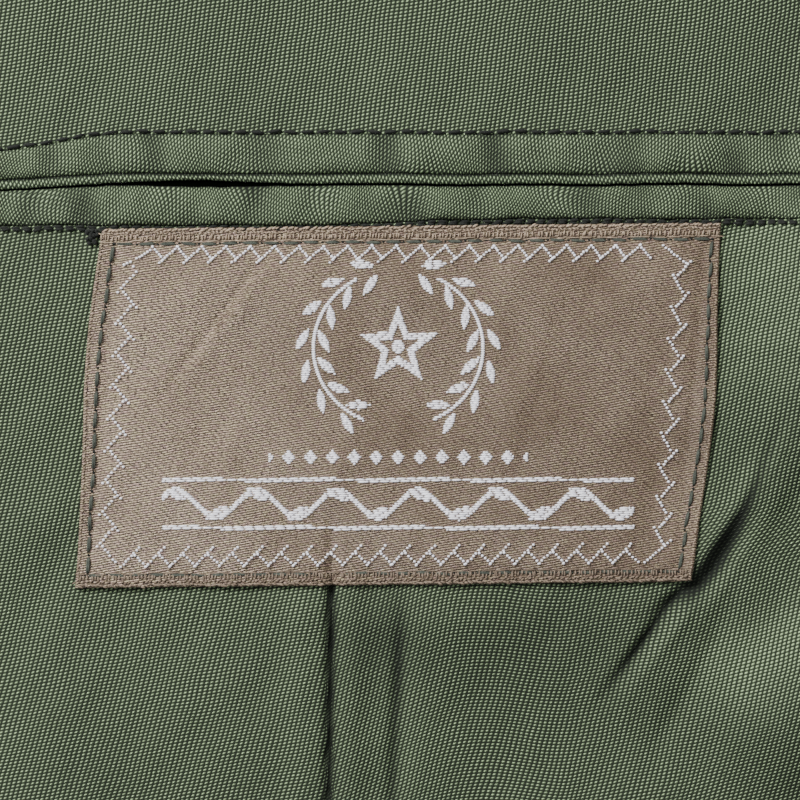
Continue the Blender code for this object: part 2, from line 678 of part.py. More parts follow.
def make_collar(wool):
    """Upper collar over the under collar."""
    along = np.linspace(0.0, len(COLLAR_STATIONS) - 1.0, COLLAR_ROWS)[:, None]
    across = np.array(COLLAR_COLUMNS)[None, :]
    along, across = np.broadcast_arrays(along, across)
    second = COLLAR_CLOTH + SEAM
    wall("collar_under", wool, collar_layer(along, across, 0.0),
         collar_layer(along, across, COLLAR_CLOTH))
    wall("collar_upper", wool, collar_layer(along, across, second),
         collar_layer(along, across, second + COLLAR_CLOTH))


# --- pockets, loop and buttons on the closed right front ---------------------------------------------------------------------------------

def on_right(x, y, height):
    """Points over the closed right front, a height above its outer face."""
    return mirrored(stack(x, y, closed_outer(x, y) + height))


def make_patch(name, wool, centre, width, top, tall, point):
    """A patch on the right front: a pocket with a raised middle pleat, or a flap over it."""
    is_flap = point > 0.0
    low = SEAM + PATCH + PLEAT + SEAM if is_flap else SEAM
    across = np.array(PATCH_COLUMNS)[None, :]
    down = np.linspace(0.0, 1.0, PATCH_ROWS)[:, None]
    x = centre + width * across + 0.0 * down
    y = top - (tall + point * (1.0 - np.abs(2.0 * across))) * down
    crown = 0.0 if is_flap else PLEAT * (np.abs(across) < PLEAT_REACH)
    wall(name, wool, on_right(x, y, low), on_right(x, y, low + PATCH + crown))
    return low + PATCH


def make_shoulder_loop(wool):
    """Strap along the right shoulder, narrowing to a point by the collar."""
    start, end = np.array(LOOP_FROM), np.array(LOOP_TO)
    down = np.linspace(0.0, 1.0, 7)[None, :]
    half = 0.5 * (LOOP_WIDTH - LOOP_NARROWS * down) * np.where(down > LOOP_TIP_FROM, LOOP_TIP, 1.0)
    across = np.array([-1.0, -0.5, 0.0, 0.5, 1.0])[:, None]
    along = (end - start) / np.linalg.norm(end - start)
    x = start[0] + (end - start)[0] * down - along[1] * half * across
    y = start[1] + (end - start)[1] * down + along[0] * half * across
    wall("shoulder_loop", wool, on_right(x, y, SEAM), on_right(x, y, SEAM + LOOP_CLOTH))
    return end - along * LOOP_BUTTON_INSET


def make_button(name, brass, x, y, z, radius):
    """A domed button: a turned profile, flat below."""
    turn = np.linspace(0.0, 2.0 * math.pi, BUTTON_SIDES, endpoint=False)
    points = [(x, y, z)]
    for share, rise in BUTTON_PROFILE[1:-1]:
        ring = radius * share
        points += [(x + ring * math.cos(a), y + ring * math.sin(a), z + radius * rise) for a in turn]
    points.append((x, y, z + radius * BUTTON_PROFILE[-1][1]))
    faces = []
    rings = len(BUTTON_PROFILE) - 2
    for k in range(BUTTON_SIDES):
        after = (k + 1) % BUTTON_SIDES
        faces.append((0, 1 + after, 1 + k))
        for ring in range(rings - 1):
            low = 1 + ring * BUTTON_SIDES
            high = low + BUTTON_SIDES
            faces.append((low + k, low + after, high + after, high + k))
        last = 1 + (rings - 1) * BUTTON_SIDES
        faces.append((last + k, last + after, len(points) - 1))
    shift = np.array([CENTRE_SHIFT[0], CENTRE_SHIFT[1], 0.0])
    solid(name, brass, (np.array(points) + shift) * MM, faces)


def make_buttons(brass, flap_top, loop_end):
    """Four down the right front, one on each flap and one on the loop."""
    for number, y in enumerate(FRONT_BUTTON_Y, start=1):
        make_button(f"front_button_{number}", brass, 0.0, y, CLOSED_OUTER + SEAM, BUTTON_RADIUS)
    for name, (x, y), top in (("breast_flap_button", BREAST_FLAP_BUTTON, flap_top),
                              ("skirt_flap_button", SKIRT_FLAP_BUTTON, flap_top),
                              ("loop_button", loop_end, SEAM + LOOP_CLOTH)):
        make_button(name, brass, -x, y, CLOSED_OUTER + top + SEAM, SMALL_BUTTON_RADIUS)


def main():
    """Build every piece of the coat."""
    clear_scene()
    wool = cloth_material("wool serge", (0.045, 0.050, 0.036), 0.85)
    twill = cloth_material("lining twill", (0.105, 0.135, 0.090), 0.55)
    tape = cloth_material("woven label satin", (0.29, 0.23, 0.18), 0.6)
    brass = cloth_material("brass", (0.78, 0.56, 0.22), 0.3, 1.0)
    make_back(wool, twill)
    make_fronts(wool)
    make_facing_left(wool)
    make_facing_right(wool)
    make_front_lining(twill)
    make_inside_pocket(twill)
    make_label(tape)
    make_sleeve("left", np.asarray, LEFT_SLEEVE_ANGLE, wool)
    make_sleeve("right", mirrored, RIGHT_SLEEVE_ANGLE, wool)
    make_collar(wool)
    tops = [make_patch(name, wool, *sizes) for name, *sizes in PATCHES]
    loop_end = make_shoulder_loop(wool)
    make_buttons(brass, max(tops), loop_end)


main()
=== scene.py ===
"""Officer's dress tunic laid on its back, its left front turned open: cloth, label and sewing.

Shapes are worked out in millimetres in the coat's own place, where x runs from the centre front
line and y from the neck point, and are moved to the frame's metres when a mesh is made. On the
turned front, a place is also given as (p, r): along and up the woven label from its middle.
"""
import logging
import math
from dataclasses import dataclass
from enum import Enum
from typing import Any, Callable, Iterable, Optional, Sequence

import bpy
import numpy as np
from mathutils import Matrix


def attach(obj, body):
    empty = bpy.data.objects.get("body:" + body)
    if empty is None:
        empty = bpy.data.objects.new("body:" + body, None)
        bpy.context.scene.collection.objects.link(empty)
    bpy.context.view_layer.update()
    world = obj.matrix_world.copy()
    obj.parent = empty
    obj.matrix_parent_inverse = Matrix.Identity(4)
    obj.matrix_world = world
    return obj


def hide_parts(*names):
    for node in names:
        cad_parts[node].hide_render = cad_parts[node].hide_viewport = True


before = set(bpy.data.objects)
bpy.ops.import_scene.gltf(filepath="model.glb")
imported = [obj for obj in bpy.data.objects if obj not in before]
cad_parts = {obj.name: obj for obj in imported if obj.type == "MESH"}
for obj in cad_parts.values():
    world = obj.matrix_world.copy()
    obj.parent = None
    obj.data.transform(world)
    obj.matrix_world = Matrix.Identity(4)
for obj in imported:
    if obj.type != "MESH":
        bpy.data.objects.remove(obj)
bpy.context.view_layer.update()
LOG = logging.getLogger("tunic")
Array = np.ndarray
Pair = tuple[float, float]
Piece = bpy.types.Object
Finish = bpy.types.Material
Socket = bpy.types.NodeSocket

MM = 0.001
BODY = "root"
# From the coat's own place to the frame's: the middle of the laid coat's footprint, in mm.
CENTRE_SHIFT = (-29.2, 334.1, 0.0)
# Stitch length and thread radius of stitching on wool, the rise of a stitch's middle, and how far
# the runs lie inside an edge and inside a patch's edge, in mm.
TOPSTITCH = (3.2, 0.22)
TOPSTITCH_BOW = 0.12
EDGE_INSET = 6.0
PATCH_INSET = 5.0
# Half the gap between two machine stitches, as a share of a stitch.
STITCH_GAP = 0.06
# Half the gap where facing and lining meet, in mm.
BUTT_GAP = 0.15
UPWARDS = np.array([0.0, 0.0, 1.0])


class Side(Enum):
    """Wearer's side, as the sign of x."""

    LEFT = 1.0
    RIGHT = -1.0


# --- numbers and meshes ---


def soft_step(value: Array) -> Array:
    """Rise smoothly from 0 to 1: 3v^2 - 2v^3 of the value clipped to 0..1.

    Args:
        value: Any array.
    Returns:
        The same shape, from 0 to 1.
    """
    v = np.clip(value, 0.0, 1.0)
    return v * v * (3.0 - 2.0 * v)


def smooth_table(at: Array, known_at: Sequence[float], known: Sequence[float]) -> Array:
    """Cubic curve through known points, each slope taken from the point's neighbours.

    Args:
        at: Where to read the curve.
        known_at: Places of the known points, rising.
        known: Their values.
    Returns:
        The curve's values.
    """
    xs, ys = np.asarray(known_at, float), np.asarray(known, float)
    at = np.clip(np.asarray(at, float), xs[0], xs[-1])
    slope = np.gradient(ys, xs)
    left = np.clip(np.searchsorted(xs, at, side="right") - 1, 0, len(xs) - 2)
    span = xs[left + 1] - xs[left]
    t = (at - xs[left]) / span
    base = ys[left] * (1 + 2 * t) * (1 - t) ** 2 + ys[left + 1] * t * t * (3 - 2 * t)
    return base + span * (slope[left] * t * (1 - t) ** 2 - slope[left + 1] * t * t * (1 - t))


def ripple(x: Array, y: Array, length: float, seed: int) -> Array:
    """Smooth unevenness: five sine waves of near lengths in seeded directions, summed.

    Args:
        x: Place across, in mm.
        y: Place up, in mm.
        length: Middle wave length in mm.
        seed: Seed of the directions and phases.
    Returns:
        Values around 0, mostly within 1.
    """
    rng = np.random.default_rng(seed)
    total = np.zeros(np.broadcast(x, y).shape)
    for _ in range(5):
        angle, phase = rng.uniform(0.0, math.tau, 2)
        wave = length * rng.uniform(0.7, 1.5)
        toward = x * math.cos(angle) + y * math.sin(angle)
        total = total + np.sin(math.tau * toward / wave + phase)
    return total / 3.0


def stack(*parts: Any) -> Array:
    """Join arrays into points on the last axis."""
    return np.stack(np.broadcast_arrays(*parts), axis=-1).astype(float)


def unit(vectors: Array) -> Array:
    """Scale vectors on the last axis to length one."""
    return vectors / np.maximum(np.linalg.norm(vectors, axis=-1, keepdims=True), 1e-12)


def grid_normals(points: Array) -> Array:
    """Normals of a grid of points: the cross product of its two finite differences."""
    return unit(np.cross(np.gradient(points, axis=1), np.gradient(points, axis=0)))


def near_ends(length: float, inner: int, roll: float) -> Array:
    """Values from 0 to 1 that are even inside and close together within a roll of each end.

    Args:
        length: Length that 0 to 1 stands for, in mm.
        inner: Number of even values inside.
        roll: Width of the close stretch at each end, in mm.
    Returns:
        Rising values from 0 to 1.
    """
    edge = roll / length
    close = np.array([0.0, 0.12, 0.3, 0.6]) * roll / length
    return np.concatenate([close, np.linspace(edge, 1 - edge, inner), 1 - close[::-1]])


def by_rows(rows: Array, one_row: Callable[[float], tuple[Array, ...]]) -> tuple[Array, ...]:
    """Grids whose rows a function works out one by one."""
    return tuple(np.array(part) for part in zip(*(one_row(at) for at in rows)))


def link(name: str, mesh: bpy.types.Mesh, material: Finish) -> Piece:
    """Make an object of a mesh, dress it, and let it ride on the coat.

    Args:
        name: Name of the piece.
        mesh: Its mesh, in metres in the frame.
        material: Its finish.
    Returns:
        The object.
    """
    mesh.materials.append(material)
    mesh.shade_smooth()
    piece = bpy.data.objects.new(name, mesh)
    bpy.context.scene.collection.objects.link(piece)
    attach(piece, BODY)
    LOG.info("%s: %d faces", name, len(mesh.polygons))
    return piece


def mesh_of(name: str, points: Array, faces: Array, uv: Optional[Array] = None) -> bpy.types.Mesh:
    """Make a mesh from whole arrays.

    Args:
        name: Name of the mesh.
        points: Points in mm in the coat's place, n by 3.
        faces: Corner numbers, n by 3 or n by 4.
        uv: Place of each point on its cloth in mm, n by 2.
    Returns:
        The mesh, in metres in the frame.
    """
    mesh = bpy.data.meshes.new(name)
    count, corners = faces.shape
    mesh.vertices.add(len(points))
    mesh.vertices.foreach_set("co", ((points + CENTRE_SHIFT) * MM).astype(np.float32).ravel())
    mesh.loops.add(faces.size)
    mesh.loops.foreach_set("vertex_index", faces.astype(np.int32).ravel())
    mesh.polygons.add(count)
    mesh.polygons.foreach_set("loop_start", np.arange(0, faces.size, corners, dtype=np.int32))
    if uv is not None:
        layer = mesh.uv_layers.new(name="cloth")
        layer.data.foreach_set("uv", (uv[faces.ravel()] * MM).astype(np.float32).ravel())
    mesh.update(calc_edges=True)
    mesh.validate()
    return mesh


def grid_faces(rows: int, columns: int) -> Array:
    """Four-sided faces of a grid of points, row by row.

    Args:
        rows: Rows of points.
        columns: Points in a row.
    Returns:
        Corner numbers, n by 4.
    """
    number = np.arange(rows * columns).reshape(rows, columns)
    corners = (number[:-1, :-1], number[:-1, 1:], number[1:, 1:], number[1:, :-1])
    return np.stack(corners, axis=-1).reshape(-1, 4)


@dataclass
class Panel:
    """One cloth piece: a grid of points of its visible face in mm, thickened behind it."""

    name: str
    points: Array
    uv: Array  # place on the cloth in mm
    thickness: float
    material: Finish
    slot: str
    stands_for: tuple[str, ...]  # CAD nodes it replaces
    flat: Pair  # width and length of its cut
    held: str = "laid"
    rests_on: tuple[str, ...] = ()
    roll: float = 0.0  # radius of its rounded edges
    # Which edges are rounded: first row, last row, first column, last column.
    rolled: tuple[bool, bool, bool, bool] = (True, True, True, True)
    shade: Optional[Array] = None  # painted shading: 1 is full painted shade, below 0 a painted highlight

    def rounded(self) -> Array:
        """Lower the face beside its edges as a quarter circle: R - sqrt(R^2 - (R - d)^2).

        Returns:
            The points, moved against their normals.
        """
        if self.roll <= 0.0:
            return self.points
        down = np.linalg.norm(np.diff(self.points, axis=0), axis=-1)
        across = np.linalg.norm(np.diff(self.points, axis=1), axis=-1)
        zero_row, zero_column = np.zeros((1, down.shape[1])), np.zeros((across.shape[0], 1))
        from_first = np.concatenate([zero_row, np.cumsum(down, axis=0)])
        from_left = np.concatenate([zero_column, np.cumsum(across, axis=1)], axis=1)
        choices = (from_first, from_first[-1:] - from_first,
                   from_left, from_left[:, -1:] - from_left)
        far = np.full(self.points.shape[:2], self.roll)
        nearest = np.minimum.reduce([far] + [d for d, use in zip(choices, self.rolled) if use])
        drop = self.roll - np.sqrt(np.maximum(self.roll ** 2 - (self.roll - nearest) ** 2, 0.0))
        normals = grid_normals(self.points)
        normals *= np.sign(np.median(normals[..., 2]))
        return self.points - drop[..., None] * normals

    def build(self) -> None:
        """Make the piece, its face up and its thickness below."""
        points = self.rounded()
        rows, columns = points.shape[:2]
        faces = grid_faces(rows, columns)
        if np.median(grid_normals(points)[..., 2]) < 0.0:
            faces = faces[:, ::-1]
        mesh = mesh_of(self.name, points.reshape(-1, 3), faces, self.uv.reshape(-1, 2))
        # Painted shading, stored on the points for the finish to darken or lighten the colour.
        if self.shade is not None:
            painted_shading = mesh.attributes.new("painted_shading", "FLOAT", "POINT")
            shade = np.clip(self.shade, -1.0, 1.0).astype(np.float32)
            painted_shading.data.foreach_set("value", shade.ravel())
        piece = link(self.name, mesh, self.material)
        thick = piece.modifiers.new("thickness", "SOLIDIFY")
        thick.thickness = self.thickness * MM
        thick.offset = -1.0
        if self.stands_for:
            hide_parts(*self.stands_for)


def lay_threads(name: str, starts: Array, ends: Array, radius: Any, lift: Any, material: Finish,
                sides: int = 5, rings: int = 4, blunt: float = 0.5) -> None:
    """Many short threads as one piece: each is a bowed spindle from its start to its end.

    A spindle's centre line is a straight line plus lift * 4t(1 - t) upwards, and its radius is
    the full one times sin(pi t) to the power blunt.

    Args:
        name: Name of the piece.
        starts: Start points in mm, n by 3.
        ends: End points in mm, n by 3.
        radius: Thread radius in mm, one or n.
        lift: Rise of the middle in mm, one or n.
        material: Its yarn.
        sides: Sides of a thread.
        rings: Rings of points between its two tips.
        blunt: Power of the taper; less is blunter.
    """
    count = len(starts)
    radius, lift = (np.broadcast_to(value, count)[:, None] for value in (radius, lift))
    t = np.linspace(0.0, 1.0, rings + 2)[1:-1]
    turn = np.linspace(0.0, math.tau, sides, endpoint=False)[:, None]
    along = unit(ends - starts)
    right = unit(np.cross(along, UPWARDS))
    top = np.cross(right, along)
    line = starts[:, None] + (ends - starts)[:, None] * t[:, None]
    line = line + (lift * 4.0 * t * (1.0 - t))[..., None] * UPWARDS
    width = radius * np.sin(math.pi * t) ** blunt
    around = np.cos(turn) * right[:, None] + np.sin(turn) * top[:, None]
    rim = line[:, :, None] + width[..., None, None] * around[:, None]
    points = np.concatenate([starts[:, None], rim.reshape(count, -1, 3), ends[:, None]], axis=1)
    per = rings * sides + 2
    ring = 1 + np.arange(rings * sides).reshape(rings, sides)
    after = np.roll(ring, -1, axis=1)
    first = np.stack([np.zeros(sides, int), after[0], ring[0]], axis=-1)
    last = np.stack([ring[-1], after[-1], np.full(sides, per - 1)], axis=-1)
    low = np.stack([ring[:-1], after[:-1], after[1:]], axis=-1).reshape(-1, 3)
    high = np.stack([ring[:-1], after[1:], ring[1:]], axis=-1).reshape(-1, 3)
    one = np.concatenate([first, low, high, last])[:, ::-1]
    faces = (one[None] + per * np.arange(count)[:, None, None]).reshape(-1, 3)
    link(name, mesh_of(name, points.reshape(-1, 3), faces), material)


# --- colours and finishes ---


def linear(code: str) -> tuple[float, float, float, float]:
    """Turn an sRGB hex colour into linear red, green, blue and alpha.

    Args:
        code: Six hex digits.
    Returns:
        Linear values from 0 to 1, alpha 1.
    """
    values = [int(code[k:k + 2], 16) / 255.0 for k in (0, 2, 4)]
    r, g, b = (v / 12.92 if v <= 0.04045 else ((v + 0.055) / 1.055) ** 2.4 for v in values)
    return r, g, b, 1.0


class Graph:
    """A material's node tree and its Principled shader."""

    def __init__(self, name: str) -> None:
        """Make the material.

        Args:
            name: Name of the material.
        """
        self.material = bpy.data.materials.new(name)
        self.material.use_nodes = True
        self.tree = self.material.node_tree

    def add(self, kind: str, links: Any = (), out: Any = 0, **settings: Any) -> Socket:
        """Add a node with its settings and links.

        Args:
            kind: Type name without its ShaderNode prefix, and its operation or data type if any.
            links: Sockets to link and values to set, in order, or by number or name in a dict.
            out: Number or name of the wanted output.
            settings: Properties of the node.
        Returns:
            The wanted output.
        """
        kind, _, choice = kind.partition(" ")
        node = self.tree.nodes.new("ShaderNode" + kind)
        if choice:
            settings["data_type" if kind == "Mix" else "operation"] = choice
        for key, value in settings.items():
            setattr(node, key, value)
        self.join(node, links if isinstance(links, dict) else dict(enumerate(links)))
        return node.outputs[out]

    def join(self, node: bpy.types.Node, links: dict[Any, Any]) -> None:
        """Link sockets to a node's inputs, or set their values.

        Args:
            node: The node.
            links: A socket or a value for each input, by number or name.
        """
        for key, value in links.items():
            if isinstance(value, Socket):
                self.tree.links.new(value, node.inputs[key])
            else:
                node.inputs[key].default_value = value

    def dress(self, relief: Socket, depth: float, **links: Any) -> Finish:
        """Give the shader its relief and its own sockets.

        Args:
            relief: Height of the relief, 0 to 1.
            depth: Its full height in mm.
            links: A socket or a value for each input, underscores for spaces.
        Returns:
            The material.
        """
        bump = self.add("Bump", {"Height": relief, "Distance": depth * MM})
        inputs = {key.replace("_", " "): value for key, value in links.items()}
        self.join(self.tree.nodes["Principled BSDF"], {"Normal": bump, **inputs})
        return self.material

    def cloth_place(self) -> Socket:
        """Place on the cloth in mm, from the piece's own UV map."""
        uv = self.add("UVMap", uv_map="cloth")
        return self.add("VectorMath SCALE", {0: uv, "Scale": 1.0 / MM})

    def rows(self, place: Socket, per_mm: Pair) -> Socket:
        """Rows of thread: 0.5 + 0.5 cos(2 pi (x fx + y fy)).

        Args:
            place: Place on the cloth in mm.
            per_mm: Rows per mm along x and y, fx and fy.
        Returns:
            1 on a row's crown, 0 between rows.
        """
        turn = (math.tau * per_mm[0], math.tau * per_mm[1], 0.0)
        angle = self.add("VectorMath DOT_PRODUCT", (place, turn), "Value")
        wave = self.add("Math COSINE", (angle,))
        return self.add("Math MULTIPLY_ADD", (wave, 0.5, 0.5))


@dataclass(frozen=True)
class TwillFinish:
    """Twill cloth: thread floats on a slanting lattice, with dark gaps between them; in mm."""

    name: str
    thread: str
    gap: str
    warp: Pair  # floats per mm along x and y, one set of rows
    weft: Pair  # the other set
    relief: float  # height of a float
    roughness: float
    sheen: float = 0.0
    drift: float = 0.45  # how far the rows wander
    wander: float = 12.0  # length of that wandering
    nap: float = 0.03  # share of fibre fuzz in the colour
    sharp: float = 1.0  # power that narrows the floats
    gloss: float = 0.45
    patch: float = 17.0  # size of lighter and darker parts
    dull: float = 0.95  # roughness between the floats
    speck: float = 0.3  # size of the floats' unevenness
    fibre: float = 0.12  # size of the fuzz
    painted_shade_strength: float = 0.93  # how strongly the painted shade darkens towards the gaps

    def make(self) -> Finish:
        """Build the material.

        Returns:
            The material.
        """
        g = Graph(self.name)
        place = g.cloth_place()
        sway = g.add("TexNoise", {"Vector": place, "Scale": 1.0 / self.wander}, "Color")
        moved = g.add("VectorMath MULTIPLY_ADD", (sway, (2.0 * self.drift,) * 3, place))
        floats = g.add("Math MULTIPLY", (g.rows(moved, self.warp), g.rows(moved, self.weft)))
        crown = g.add("Math POWER", (floats, self.sharp))
        uneven = g.add("TexNoise", {"Vector": place, "Scale": 1.0 / self.speck, "Detail": 1.0})
        lit = g.add("Math MULTIPLY", (crown, g.add("Math MULTIPLY_ADD", (uneven, 1.6, 0.2))))
        fuzz = g.add("TexNoise", {"Vector": place, "Scale": 1.0 / self.fibre, "Detail": 3.0})
        shown = g.add("Mix FLOAT", {0: self.nap, 2: lit, 3: fuzz})
        # Painted shading from the mesh: above 0 the colour darkens towards the gaps as painted
        # shade, in tight folds and other shaded parts; below 0 it lightens as a painted highlight.
        painted_shading = g.add("Attribute", out="Fac", attribute_name="painted_shading")
        level = g.add("Math MULTIPLY_ADD", (painted_shading, -self.painted_shade_strength, 1.0))
        seen = g.add("Math MULTIPLY", (shown, level))
        base = g.add("Mix RGBA", {0: seen, 6: linear(self.gap), 7: linear(self.thread)}, 2)
        patches = g.add("TexNoise", {"Vector": place, "Scale": 1.0 / self.patch, "Detail": 3.0})
        worn = g.add("Math MULTIPLY_ADD", (patches, 0.4, -0.05))
        toned = g.add("Mix RGBA", {0: worn, 6: base, 7: linear(self.gap)}, 2)
        rough = g.add("Math MULTIPLY_ADD", (crown, self.roughness - self.dull, self.dull))
        return g.dress(crown, self.relief, Base_Color=toned, Roughness=rough,
                       Sheen_Weight=self.sheen, Sheen_Roughness=0.5,
                       Sheen_Tint=linear(self.thread), Specular_IOR_Level=self.gloss)


@dataclass(frozen=True)
class SatinTape:
    """Label ground: damask-woven satin, fine level floats in rows that slant a little; in mm."""

    name: str = "polyester damask satin"
    rosy: str = "DDBBAE"
    sandy: str = "E8D7AE"
    gap: str = "2D2118"
    shade_and_stain: str = "52402F"  # colour of the painted shade and of the stains
    row: float = 0.36  # row spacing
    slant: float = 0.17  # rise of the rows for each mm along
    float_length: float = 0.85
    stagger: float = 0.381  # start of each row's floats past the last row's, as a share
    shade_ramp: Pair = (-32.0, -4.0)  # where the painted shade towards the right begins and is full
    sway: float = 9.0  # length over which the rows wander
    wobble: float = 0.7  # length over which they wobble
    speck: float = 0.42  # size of the floats' unevenness
    dye: float = 0.5  # size of changes between the two colours
    cloud: float = 13.0  # size of the cloudy stains
    relief: float = 0.13

    def make(self) -> Finish:
        """Build the material.

        Returns:
            The material.
        """
        g = Graph(self.name)
        place = g.cloth_place()
        broad = g.add("TexNoise", {"Vector": place, "Scale": 1.0 / self.sway}, "Color")
        fine = g.add("TexNoise", {"Vector": place, "Scale": 1.0 / self.wobble, "Detail": 1.0},
                     "Color")
        swayed = g.add("VectorMath MULTIPLY_ADD", (broad, (0.0, 0.5, 0.0), place))
        moved = g.add("VectorMath MULTIPLY_ADD", (fine, (0.0, 0.16, 0.0), swayed))
        per_mm = (-self.slant / self.row, 1.0 / self.row)
        rows = g.rows(moved, per_mm)
        count = g.add("VectorMath DOT_PRODUCT", (moved, (*per_mm, 0.0)), "Value")
        number = g.add("Math FLOOR", (count,))
        floats = (1.0 / self.float_length, 0.0, 0.0)
        along = g.add("VectorMath DOT_PRODUCT", (place, floats), "Value")
        float_at = g.add("Math MULTIPLY_ADD", (number, self.stagger, along))
        share = g.add("Math FRACT", (float_at,))
        half_turn = g.add("Math MULTIPLY", (share, math.pi))
        bow = g.add("Math POWER", (g.add("Math SINE", (half_turn,)), 0.4))
        ridge = g.add("Math POWER", (rows, 0.7))
        crown = g.add("Math MULTIPLY", (ridge, bow))
        flat = g.add("VectorMath MULTIPLY", (place, (1.0, 3.6, 1.0)))
        uneven = g.add("TexNoise", {"Vector": flat, "Scale": 1.0 / self.speck, "Detail": 3.0})
        varied = g.add("Math MULTIPLY_ADD", (uneven, 7.0, -2.5))
        lit = g.add("Math MULTIPLY", (crown, varied))
        upright = g.add("VectorMath MULTIPLY", (place, (0.4, 1.0, 1.0)))
        dye = g.add("TexNoise", {"Vector": upright, "Scale": 1.0 / self.dye})
        hue = g.add("Math MULTIPLY_ADD", (dye, 3.0, -1.0))
        tint = g.add("Mix RGBA", {0: hue, 6: linear(self.rosy), 7: linear(self.sandy)}, 2)
        base = g.add("Mix RGBA", {0: lit, 6: linear(self.gap), 7: tint}, 2)
        # Painted shade darkens the tape from its left end towards the right, where less light
        # falls, and cloudy stains brown it too.
        across = g.add("SeparateXYZ", (place,))
        toward = g.add("MapRange", (across, *self.shade_ramp, -0.2, 0.2),
                       interpolation_type="SMOOTHSTEP")
        clouds = g.add("TexNoise", {"Vector": place, "Scale": 1.0 / self.cloud, "Detail": 4.0})
        stain_and_shade_sum = g.add("Math MULTIPLY_ADD", (clouds, 0.9, toward))
        stain_and_shade_mask = g.add("Math SUBTRACT", (stain_and_shade_sum, 0.155), use_clamp=True)
        toned = g.add("Mix RGBA", {0: stain_and_shade_mask, 6: base, 7: linear(self.shade_and_stain)}, 2)
        return g.dress(crown, self.relief, Base_Color=toned, Roughness=0.45, Specular_IOR_Level=0.4,
                       Sheen_Weight=0.05)


@dataclass(frozen=True)
class YarnFinish:
    """Plain spun or filament yarn of single threads that are meshes of their own; in mm."""

    name: str
    colour: str
    shade: str  # colour of its darker lengths
    roughness: float
    relief: float = 0.04
    sheen: float = 0.1
    gloss: float = 0.3
    painted_glow: float = 0.0  # painted glow: emission that brightens its whites
    length: float = 0.7  # size of lighter and darker lengths
    fibre: float = 0.09  # size of its fibres

    def make(self) -> Finish:
        """Build the material on Object coordinates.

        Returns:
            The material.
        """
        g = Graph(self.name)
        place = g.add("TexCoord", out="Object")
        lengths = g.add("TexNoise", {"Vector": place, "Scale": 1.0 / (self.length * MM)})
        base = g.add("Mix RGBA", {0: lengths, 6: linear(self.shade), 7: linear(self.colour)}, 2)
        fibres = g.add("TexNoise", {"Vector": place, "Scale": 1.0 / (self.fibre * MM),
                                    "Detail": 1.0})
        # Emission gives the painted glow of yarns that have one.
        return g.dress(fibres, self.relief, Base_Color=base, Roughness=self.roughness,
                       Sheen_Weight=self.sheen, Specular_IOR_Level=self.gloss,
                       Emission_Color=linear("F0EEFF"), Emission_Strength=self.painted_glow)


@dataclass(frozen=True)
class BrassFinish:
    """Struck and polished brass: bright crowns, brown tarnish, fine handling marks; in mm."""

    name: str = "polished brass"
    bright: str = "D8B25A"
    dull: str = "8A6A35"
    patch: float = 3.0  # size of a tarnished part
    scratch: float = 0.3  # size of a handling mark

    def make(self) -> Finish:
        """Build the material.

        Returns:
            The material.
        """
        g = Graph(self.name)
        place = g.add("TexCoord", out="Object")
        cloud = g.add("TexNoise", {"Vector": place, "Scale": 1.0 / (self.patch * MM),
                                   "Detail": 5.0})
        spots = g.add("Math POWER", (cloud, 2.0))
        base = g.add("Mix RGBA", {0: spots, 6: linear(self.bright), 7: linear(self.dull)}, 2)
        rough = g.add("Math MULTIPLY_ADD", (cloud, 0.3, 0.12))
        marks = g.add("TexNoise", {"Vector": place, "Scale": 1.0 / (self.scratch * MM),
                                   "Detail": 3.0})
        return g.dress(marks, 0.02, Base_Color=base, Metallic=1.0, Roughness=rough)


